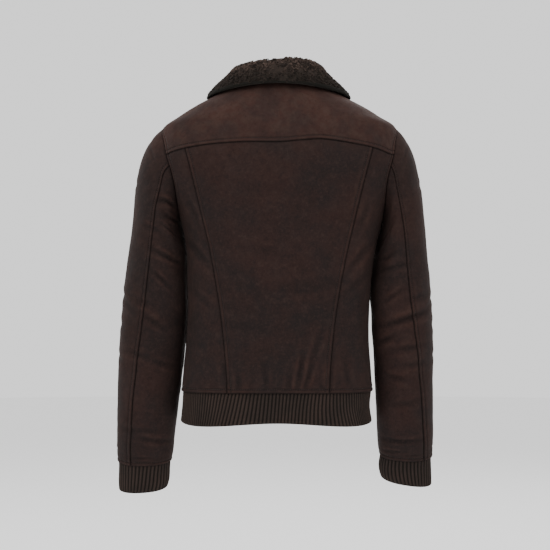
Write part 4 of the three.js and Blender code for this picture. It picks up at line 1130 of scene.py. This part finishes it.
def hem_line(down, share):
    ring = row_at(HEM, "at", 2 * down)
    edge = angle_for_x(ring, np.float64(ZIP_HALF_OPENING + 0.2), True)
    angle = lerp(-edge, edge, share)
    point = ring_point(ring, angle)
    point[..., 2] -= HEM_DIP * down * np.sin(2 * radians(angle)) ** 2
    return point


def hem_outward(down, share):
    ring = row_at(HEM, "at", 2 * down)
    point = hem_line(down, share)
    flat = np.stack([point[..., 0] / ring["left"] ** 2, point[..., 1] / ring["back"] ** 2, 0 * down], -1)
    return unit(flat)


def hem_slant(share, down):
    ends = smooth(share, 0, 0.04) * smooth(1 - share, 0, 0.04)
    return ends * down * (1.3 * np.sin(2 * np.pi * (share * 2.1 + 0.1)) + 0.5 * np.sin(2 * np.pi * share * 7.3))


band("hem_rib", hem_line, hem_outward, False, HEM_RIBS, hem_slant)


def cuff_slant(share, down):
    return down * 0.5 * np.sin(2 * np.pi * (2 * share + 0.2))


for side in (LEFT, RIGHT):
    def cuff_line(down, share, side=side):
        return section_point(row_at(side["cuff"], "at", 3 * down), side["sign"], 360 * share)

    def cuff_outward(down, share, side=side):
        section = row_at(side["cuff"], "at", 3 * down)
        middle = np.stack([
            side["sign"] * (section["outerX"] + section["innerX"]) / 2,
            section["y"],
            (section["outerZ"] + section["innerZ"]) / 2,
        ], -1)
        return unit(cuff_line(down, share, side) - middle)

    band("cuff_" + side["name"], cuff_line, cuff_outward, True, CUFF_RIBS, cuff_slant)


# The collar: a wall of sheepskin from the neck seam up, over the fold and out to its edge. The curve
# is its suede side, and its wool lies on the other.
COLLAR_COLUMNS, COLLAR_ROWS = 230, 46
CURL_REACH = 1.9  # the curls stand this much out of the wool's own surface
BOUND = 0.965  # from here to its edge the collar is sheared close, with no curls


def collar_controls(angle):
    row = row_at(COLLAR, "angle", np.abs(angle))
    neck = np.full_like(angle, NECK_SEAM)
    seam, outward = plain_body(angle, neck), body_normal(angle, neck)
    outward = unit(outward * (1, 1, 0))
    tilt = COLLAR_TILT * np.sin(radians(angle)) * np.maximum(np.cos(radians(angle)), 0) ** 2
    tall, fold, lean = row["standing"] - tilt, row["fold"], row["lean"]
    edge_angle = np.sign(angle) * row["edgeAngle"]

    def standing(out, up):
        return seam + outward * out[..., None] + up[..., None] * np.array([0, 0, 1])

    def lying(at_angle, ring, clear):
        return plain_body(at_angle, ring) + body_normal(at_angle, ring) * clear[..., None]

    return [
        standing(0 * tall, 0 * tall + 0.4),
        standing(lean * 0.4, tall * 0.4),
        standing(lean, tall - fold),
        standing(lean + fold, tall),
        standing(lean + 2 * fold, tall - fold),
        lying((angle + edge_angle) / 2, (NECK_SEAM + row["edgeRing"]) / 2, row["belly"]),
        lying(edge_angle, row["edgeRing"], row["clearance"]),
    ]


def collar_curve(angle, share):
    """A centripetal curve through the seven control points."""
    p = collar_controls(angle)
    p = np.stack([2 * p[0] - p[1], *p, 2 * p[-1] - p[-2]])
    place = np.clip(share, 0, 1) * 6
    k = np.clip(np.floor(place).astype(int), 0, 5)
    f = (place - k)[..., None]
    x0, x1, x2, x3 = (np.take_along_axis(p, (k + i)[None, ..., None], 0)[0] for i in range(4))
    gaps = ((x0, x1), (x1, x2), (x2, x3))
    d0, d1, d2 = (np.sqrt(np.linalg.norm(b - a, axis=-1, keepdims=True)) for a, b in gaps)
    t1 = ((x1 - x0) / d0 - (x2 - x0) / (d0 + d1) + (x2 - x1) / d1) * d1
    t2 = ((x2 - x1) / d1 - (x3 - x1) / (d1 + d2) + (x3 - x2) / d2) * d1
    return x1 + f * (t1 + f * (3 * (x2 - x1) - 2 * t1 - t2 + f * (2 * (x1 - x2) + t1 + t2)))


def collar_thickness(angle, share):
    """The edge comes down to the shoulders at the sides, so it is thin there."""
    towards_roll = lerp(COLLAR_WALL["seam"], COLLAR_WALL["roll"], smooth(share, 0, 0.4))
    rounding = np.clip((share - COLLAR_ROUNDED) / (1 - COLLAR_ROUNDED), 0, 1)
    beside = smooth(np.abs(angle), 15, 55) * (1 - smooth(np.abs(angle), 105, 140))
    edge = lerp(COLLAR_WALL["edge"], 1.6, beside)
    return lerp(edge, towards_roll, np.sqrt(1 - rounding**2))


def collar_normal(angle, share):
    return normal_of(collar_curve, angle, np.clip(share, 0.01, 0.99), 0.4, 0.01)


# It runs round the back from eight ninths of the way over one front to the same place on the other
zip_angle = angle_for_x(row_at(BODY, "side", NECK_SEAM), ZIP_HALF_OPENING, True)
collar_ends = lerp(SHOULDER_ANGLE, zip_angle, 8 / 9)
angles, shares = np.meshgrid(
    collar_ends * np.linspace(-1, 1, COLLAR_COLUMNS), np.sin(np.linspace(0, 1, COLLAR_ROWS) * np.pi / 2)
)
skin, skin_normals = collar_curve(angles, shares), collar_normal(angles, shares)
curly = 1 - smooth(shares, BOUND - 0.02, BOUND)
lumps = curly * (0.9 * noise(skin, 8.5, 11) + 0.6 * noise(skin, 4.2, 12))
pile = collar_thickness(angles, shares) - CURL_REACH * curly + lumps
flat = np.stack([lengths_along(skin, 1), lengths_along(skin, 0)], -1)
# The wool side gets painted shade low on the roll, from 0.62 to 0.9 of the way out, where it turns under; the sheared
# edge is dark in its own colour.
collar = wall_mesh(
    "collar_sheepskin", skin, skin - skin_normals * pile[..., None], [SUEDE, COLLAR_WOOL],
    {"deep": 1 - curly, "wear_and_painted_light": 0 * lumps, "tone_and_painted_light": 0 * lumps}, flat,
    {"deep": np.maximum(1 - curly, 0.45 * smooth(shares, 0.62, 0.9)), "tone_and_painted_light": 0.1 * curly},
)
dressed(collar, "curly_wool", "collar")

CURL_STEPS, CURL_SIDES = 6, 4


def tubes(lines, radii, directions):
    """Tubes along many lines at once: lines is count by steps by 3, with a radius at each step."""
    count, steps = lines.shape[:2]
    forward = unit(np.gradient(lines, axis=1))
    side = unit(np.cross(forward, directions[:, None, :]))
    up = np.cross(side, forward)
    turns = 2 * np.pi * np.arange(CURL_SIDES) / CURL_SIDES
    ring = side[:, :, None] * np.cos(turns)[:, None] + up[:, :, None] * np.sin(turns)[:, None]
    points = lines[:, :, None] + ring * radii[..., None, None]
    index = np.arange(count * steps * CURL_SIDES).reshape(count, steps, CURL_SIDES)
    a, b = index[:, :-1], index[:, 1:]
    faces = np.stack([a, np.roll(a, -1, 2), np.roll(b, -1, 2), b], -1).reshape(-1, 4)
    caps = np.concatenate([index[:, 0, ::-1], index[:, -1]])
    return points.reshape(-1, 3), np.concatenate([faces, caps])


def collar_curls(name, low, high, count, seed):
    """Short tight curls all over the wool between two places up the collar."""
    random = np.random.default_rng(seed)
    draw = lambda least, most: random.uniform(least, most, (count, 1))
    place = random.uniform(-1, 1, count)  # closer together towards the front, where the collar is deeper
    angle = (collar_ends - 0.8) * np.sign(place) * np.abs(place) ** 0.72
    share = random.uniform(low, high, count)
    out = -collar_normal(angle, share)
    root = collar_curve(angle, share) + out * (collar_thickness(angle, share) - CURL_REACH - 0.5)[:, None]
    heading = unit(np.cross(out, random.normal(size=(count, 3))))
    beside = np.cross(out, heading)
    t = np.linspace(0, 1, CURL_STEPS + 1)[None, :]
    radius = draw(1.3, 2.5)
    sweep = 2 * np.pi * (draw(0.7, 1.15) * t + draw(0, 1))
    rise = CURL_REACH * draw(0.6, 1.1) * np.sin(np.pi * np.minimum(t * 1.15, 1)) + 0.3
    line = (
        root[:, None]
        + heading[:, None] * (radius * np.cos(sweep) + 2.2 * (t - 0.5))[..., None]
        + beside[:, None] * (radius * np.sin(sweep))[..., None]
        + out[:, None] * rise[..., None]
    )
    vertices, faces = tubes(line, draw(0.85, 1.35) * (1 - 0.6 * t**2), out)
    # Curls low on the roll get painted shade and less lightening; each curl's lightening is a random tone plus a
    # painted highlight growing towards its tip.
    shaded = smooth(share, 0.62, 0.9)[:, None]
    tone_and_painted_light = draw(-0.5, 1.0).clip(0) * (1 - 0.75 * shaded) * np.linspace(0.4, 1, CURL_STEPS + 1)
    shade = np.broadcast_to(0.45 * shaded, tone_and_painted_light.shape)
    marks = {"deep": np.repeat(shade.ravel(), CURL_SIDES), "tone_and_painted_light": np.repeat(tone_and_painted_light.ravel(), CURL_SIDES)}
    piece = new_mesh(name, vertices, faces, [COLLAR_WOOL], None, marks)
    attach(piece, GARMENT)
    return piece


declared(collar, "collar", with_pieces=[
    collar_curls("collar_curls_roll", 0.22, 0.6, 1700, 5),
    collar_curls("collar_curls_fall", 0.55, BOUND, 3400, 6),
    collar_curls("collar_curls_neck", 0.02, 0.24, 900, 7),
])


# Stitches: short threads that lie in the grooves of the lapped seams
def stitches():
    starts, ends, outs = [], [], []
    for line, normals, shown in stitch_lines:
        run = lengths_along(line[:, None], 0)[:, 0]
        pitch = STITCH_LENGTH + STITCH_GAP
        for start in np.arange(STITCH_GAP, run[-1] - pitch, pitch):
            if not shown[min(np.searchsorted(run, start), len(shown) - 1)]:
                continue
            at = lambda d, values: np.array([np.interp(d, run, values[:, i]) for i in range(3)])
            starts.append(at(start, line))
            ends.append(at(start + STITCH_LENGTH, line))
            outs.append(at(start + STITCH_LENGTH / 2, normals))
    return np.array(starts), np.array(ends), unit(np.array(outs))


starts, ends, outs = stitches()
t = np.linspace(0, 1, 6)[None, :, None]
arch = np.sin(np.pi * t) * 0.45 - 0.15
threads = starts[:, None] * (1 - t) + ends[:, None] * t + outs[:, None] * arch
thread_radii = STITCH_RADIUS * np.sin(np.pi * np.clip(np.linspace(0.08, 0.92, 6), 0, 1)) ** 0.4
vertices, faces = tubes(threads, np.broadcast_to(thread_radii, threads.shape[:2]), outs)
topstitching = new_mesh("topstitching", vertices, faces, [THREAD])
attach(topstitching, GARMENT)

# The zip: two tapes with interlocking teeth, a slider and its pull. A frame has a point of the middle
# line, bottom to top, and the direction out of the front.
def zip_frames():
    hem_rows = row_at(HEM, "at", np.array([2.0, 1.0, 0.0]))
    hem_middles = ring_point(hem_rows, np.full(3, 180.0))
    ring = np.array([*np.linspace(HEM_SEAM + 3, SLIDER["ring"] - SLIDER["length"], 23), SLIDER["ring"], NECK_SEAM - 1.5])
    front = np.full(len(ring), 180.0)
    middles = np.concatenate([hem_middles, plain_body(front, ring)])
    outs = np.concatenate([np.tile([0.0, -1, 0], (3, 1)), body_normal(front, ring)])
    return middles * (0, 1, 1), outs * (0, 1, 1)


ZIP_MIDDLES, ZIP_OUTS = zip_frames()
ZIP_RUN = lengths_along(ZIP_MIDDLES[:, None], 0)[:, 0]
ZIP_JOINED = ZIP_RUN[-3]  # above this the teeth are drawn apart by the slider


def along_zip(distance):
    """The middle line's point, its direction out and up, and how far apart the halves are there."""
    pick = lambda values: np.stack([np.interp(distance, ZIP_RUN, values[:, i]) for i in range(3)], -1)
    middle, out = pick(ZIP_MIDDLES), unit(pick(ZIP_OUTS))
    apart = ZIP_TEETH["parting"] * smooth(distance, ZIP_JOINED, ZIP_RUN[-2])
    return middle, out, np.cross(out, np.array([1.0, 0, 0])), apart


def extruded(outline, low, high, bevel, holes=()):
    """A plate in local x and z with bevelled rims, between two depths: rings of points and faces.
    Each hole has as many points as the outline."""
    loops = [outline, *holes]
    count = len(outline)
    points, faces = [], []
    for number, loop in enumerate(loops):
        centre = loop.mean(0)
        shrunk = loop + unit(centre - loop) * bevel * (1 if number == 0 else -1)
        for depth, ring in ((low, shrunk), (low + bevel, loop), (high - bevel, loop), (high, shrunk)):
            points.append(np.stack([ring[:, 0], np.full(count, depth), ring[:, 1]], -1))
        first = number * 4 * count
        index = first + np.arange(4 * count).reshape(4, count)
        around = np.concatenate([index, index[:, :1]], 1)
        side = quads(around)
        faces.append(side if number == 0 else side[:, ::-1])
    if holes:
        a, b = np.arange(count), 4 * count + np.arange(count)
        for shift, flip in ((0, 1), (3 * count, -1)):
            ring = np.stack([a, b, np.roll(b, -1), np.roll(a, -1)], -1) + shift
            faces.append(ring[:, ::flip])
        return np.concatenate(points), [face.tolist() for part in faces for face in part]
    flat_faces = [face.tolist() for part in faces for face in part]
    flat_faces += [list(range(count)), list(range(4 * count - 1, 3 * count - 1, -1))]
    return np.concatenate(points), flat_faces


def rounded_box(half_width, low, high, corner, steps=4, taper=0.0):
    """A rounded rectangle in x and z from low to high, narrower at its low end by taper."""
    corners = ((1, 1), (-1, 1), (-1, -1), (1, -1))
    points = []
    for number, (x, z) in enumerate(corners):
        turns = radians(np.linspace(90 * number, 90 * number + 90, steps))
        wide = half_width - (taper if z < 0 else 0)
        middle = (x * (wide - corner), (high if z > 0 else low) - z * corner)
        points.append(np.stack([middle[0] + corner * np.cos(turns), middle[1] + corner * np.sin(turns)], -1))
    return np.concatenate(points)


def joined(parts):
    points, faces, start = [], [], 0
    for part_points, part_faces in parts:
        points.append(part_points)
        faces += [[corner + start for corner in face] for face in part_faces]
        start += len(part_points)
    return np.concatenate(points), faces


def zip_tape(name, sign):
    distances = np.linspace(0, ZIP_RUN[-1], 190)
    middle, out, _, apart = along_zip(distances)
    inner, outer = ZIP_TEETH["gap"] + 0.4, ZIP_TAPE["width"]
    across = np.array([inner, inner + 2, 6, 10, outer, outer, 10, 6, inner + 2, inner])
    behind = np.array([0.0] * 5 + [1.0] * 5) * ZIP_TAPE["thickness"] + ZIP_DEPTH
    cord = np.array([0, -0.25, 0, 0, 0, 0, 0, 0, 0.25, 0])
    behind = behind + cord
    x = sign * (across + apart[:, None] * (1 - smooth(across, 3, outer)))
    points = middle[:, None] - out[:, None] * behind[:, None]
    points = points + x[..., None] * np.array([1.0, 0, 0])
    index = np.arange(points[..., 0].size).reshape(points.shape[:2])
    ring = quads(np.concatenate([index, index[:, :1]], 1))
    vertices = points.reshape(-1, 3)
    faces = turned_out(vertices, ring)
    ends = [index[0], index[-1, ::-1]]
    turned = not np.array_equal(faces, ring)
    faces = faces.tolist() + [(end_ if turned else end_[::-1]).tolist() for end_ in ends]
    return dressed(new_mesh(name, vertices, faces, [TAPE]), "zip_tape", "zip_" + name.split("_")[-1])


def zip_teeth(name, sign):
    """Moulded teeth clamped over the tape's edge: those of one side lie between the other's."""
    pitch, reach = ZIP_TEETH["pitch"], 0.75
    starts = np.arange(2.0, ZIP_RUN[-1] - 2, pitch) + (pitch / 2 if sign < 0 else 0)
    middle, out, up, apart = along_zip(starts)
    outline = np.array([
        (3.0, -0.55), (3.0, 0.55), (1.6, 0.62), (0.7, 0.5), (0.1, 0.72), (-0.45, 0.66), (-reach, 0.3),
        (-reach, -0.3), (-0.45, -0.66), (0.1, -0.72), (0.7, -0.5), (1.6, -0.62),
    ])
    low = ZIP_DEPTH - ZIP_TEETH["proud"]
    high = ZIP_DEPTH + ZIP_TAPE["thickness"] + ZIP_TEETH["proud"]
    tooth, faces = extruded(outline, low, high, 0.18)
    points = (
        middle[:, None] - out[:, None] * tooth[:, 1:2] + up[:, None] * tooth[:, 2:3]
        + (sign * (tooth[:, 0] + apart[:, None]))[..., None] * np.array([1.0, 0, 0])
    )
    every = [[corner + i * len(tooth) for corner in (face if sign > 0 else face[::-1])]
             for i in range(len(starts)) for face in faces]
    piece = new_mesh(name, points.reshape(-1, 3), every, [METAL])
    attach(piece, GARMENT)
    return piece


for side in (LEFT, RIGHT):
    zip_tape("zip_tape_" + side["name"], side["sign"])
    zip_teeth("zip_teeth_" + side["name"], side["sign"])

slider_low, slider_high = ZIP_MIDDLES[-3], ZIP_MIDDLES[-2]
slider_middle = (slider_low + slider_high) / 2
slider_up = unit(slider_high - slider_low)
slider_back = np.array([0, slider_up[2], -slider_up[1]])


def on_slider(points):
    """From the slider's own x, depth and height to the jacket's frame."""
    return slider_middle + points[:, :1] * np.array([1.0, 0, 0]) + points[:, 1:2] * slider_back + points[:, 2:] * slider_up


plate_face = ZIP_DEPTH - ZIP_TEETH["proud"] - SLIDER["clearance"] - SLIDER["plate"]
plate_rear = ZIP_DEPTH + ZIP_TAPE["thickness"] + ZIP_TEETH["proud"] + SLIDER["clearance"]
half_width, half_length = SLIDER["width"] / 2, SLIDER["length"] / 2
plate_outline = rounded_box(half_width, -half_length, half_length, 1.4, 5, 0.9)
post_outline = rounded_box(SLIDER["post"] / 2, half_length - SLIDER["post_length"], half_length - 0.3, 0.6)


def flange(x, low, high):
    outline = rounded_box(0.45, -half_length + 1.2, 0.5, 0.3, 3)
    return extruded(outline + (x, 0), low, high, 0.12)


def bridge():
    """A bar that arches out from the front plate and back."""
    t = np.linspace(0, np.pi, 15)
    height, reach = BRIDGE["height"] - BRIDGE["bar"] / 2, BRIDGE["length"] / 2 - BRIDGE["bar"] / 2
    power = lambda value: np.sign(value) * np.abs(value) ** 0.6
    z, depth = reach * power(np.cos(t)), plate_face + 0.3 - (height + 0.3) * power(np.sin(t))
    forward = unit(np.gradient(np.stack([0 * z, depth, z], -1), axis=0))
    normal = np.cross(forward, [1.0, 0, 0])
    turns = np.linspace(0, 2 * np.pi, 9)[:-1]
    wide, thick = BRIDGE["width"] / 2, BRIDGE["bar"] / 2
    section_x = wide * power(np.cos(turns))
    section_n = thick * power(np.sin(turns))
    line = np.stack([0 * z, depth, z], -1)
    points = line[:, None] + section_n[:, None] * normal[:, None] + section_x[:, None] * np.array([1.0, 0, 0])
    index = np.arange(points[..., 0].size).reshape(15, 8)
    ring = quads(np.concatenate([index, index[:, :1]], 1))
    vertices = points.reshape(-1, 3)
    faces = turned_out(vertices, ring)
    turned = not np.array_equal(faces, ring)
    ends = [index[0], index[-1, ::-1]]
    return vertices, faces.tolist() + [(end_ if turned else end_[::-1]).tolist() for end_ in ends]


def metal_piece(name, parts, node, body):
    vertices, faces = joined(parts)
    piece = new_mesh(name, on_slider(vertices), faces, [METAL])
    return dressed(piece, "zip_metal", node, body=body)


metal_piece("slider", [
    extruded(plate_outline, plate_face, plate_face + SLIDER["plate"], 0.3),
    extruded(plate_outline, plate_rear, plate_rear + SLIDER["plate"], 0.3),
    extruded(post_outline, plate_face + 0.3, plate_rear + SLIDER["plate"] - 0.3, 0.2),
    *(flange(x * (half_width - 1.25), plate_face + 0.6, plate_face + 1.75) for x in (-1, 1)),
    *(flange(x * (half_width - 1.25), plate_rear - 0.55, plate_rear + 0.6) for x in (-1, 1)),
    bridge(),
], "zip_slider", GARMENT)

pin = plate_face - (BRIDGE["height"] - BRIDGE["bar"]) / 2
half_bar, half_thick = PULL["bar"] / 2, PULL["thickness"] / 2
tab = rounded_box(PULL["width"] / 2, -PULL["length"], half_bar, 1.6, 6, 0.5)
eye = rounded_box(PULL["eye_width"] / 2, -half_bar - PULL["eye_length"], -half_bar, 0.7, 6)
metal_piece("pull_tab", [extruded(tab, pin - half_thick, pin + half_thick, 0.3, (eye,))], "zip_pull", PULL_BODY)


# Floor, light and camera
def light(name, place, size, power, colour=(1.0, 1.0, 1.0)):
    lamp = bpy.data.lights.new(name, "AREA")
    lamp.shape = "DISK"
    lamp.size, lamp.energy, lamp.color = size, power, colour
    holder = bpy.data.objects.new(name, lamp)
    holder.location = place
    towards = Vector((0, 0, -0.38)) - Vector(place)
    holder.rotation_euler = towards.to_track_quat("-Z", "Y").to_euler()
    bpy.context.scene.collection.objects.link(holder)


light("key", (1.5, 2.6, 2.4), 2.0, 52)
light("fill", (-2.2, 2.4, 0.7), 2.2, 8)
light("front", (-0.8, -3.0, 2.0), 2.4, 56)
light("front_side", (2.6, -1.6, 0.8), 2.0, 14)

world = bpy.data.worlds.new("studio")
bpy.context.scene.world = world
world.use_nodes = True
world.node_tree.nodes["Background"].inputs["Color"].default_value = (1, 1, 1, 1)
world.node_tree.nodes["Background"].inputs["Strength"].default_value = 1.25

bpy.ops.mesh.primitive_circle_add(vertices=96, radius=FLOOR_RADIUS, fill_type="NGON", location=(0, 0, FLOOR_HEIGHT))
floor = bpy.context.object
floor.name = "floor"
floor_shader = Shader("pale_floor")
floor_shader.finish(Base_Color=(0.92, 0.92, 0.92, 1.0), Roughness=0.9)
floor.data.materials.append(floor_shader.material)

camera_data = bpy.data.cameras.new("camera")
camera_data.lens = CAMERA_LENS
camera = bpy.data.objects.new("camera", camera_data)
camera.location = CAMERA_PLACE
camera.rotation_euler = (np.pi / 2, 0, np.pi)
bpy.context.scene.collection.objects.link(camera)
bpy.context.scene.camera = camera
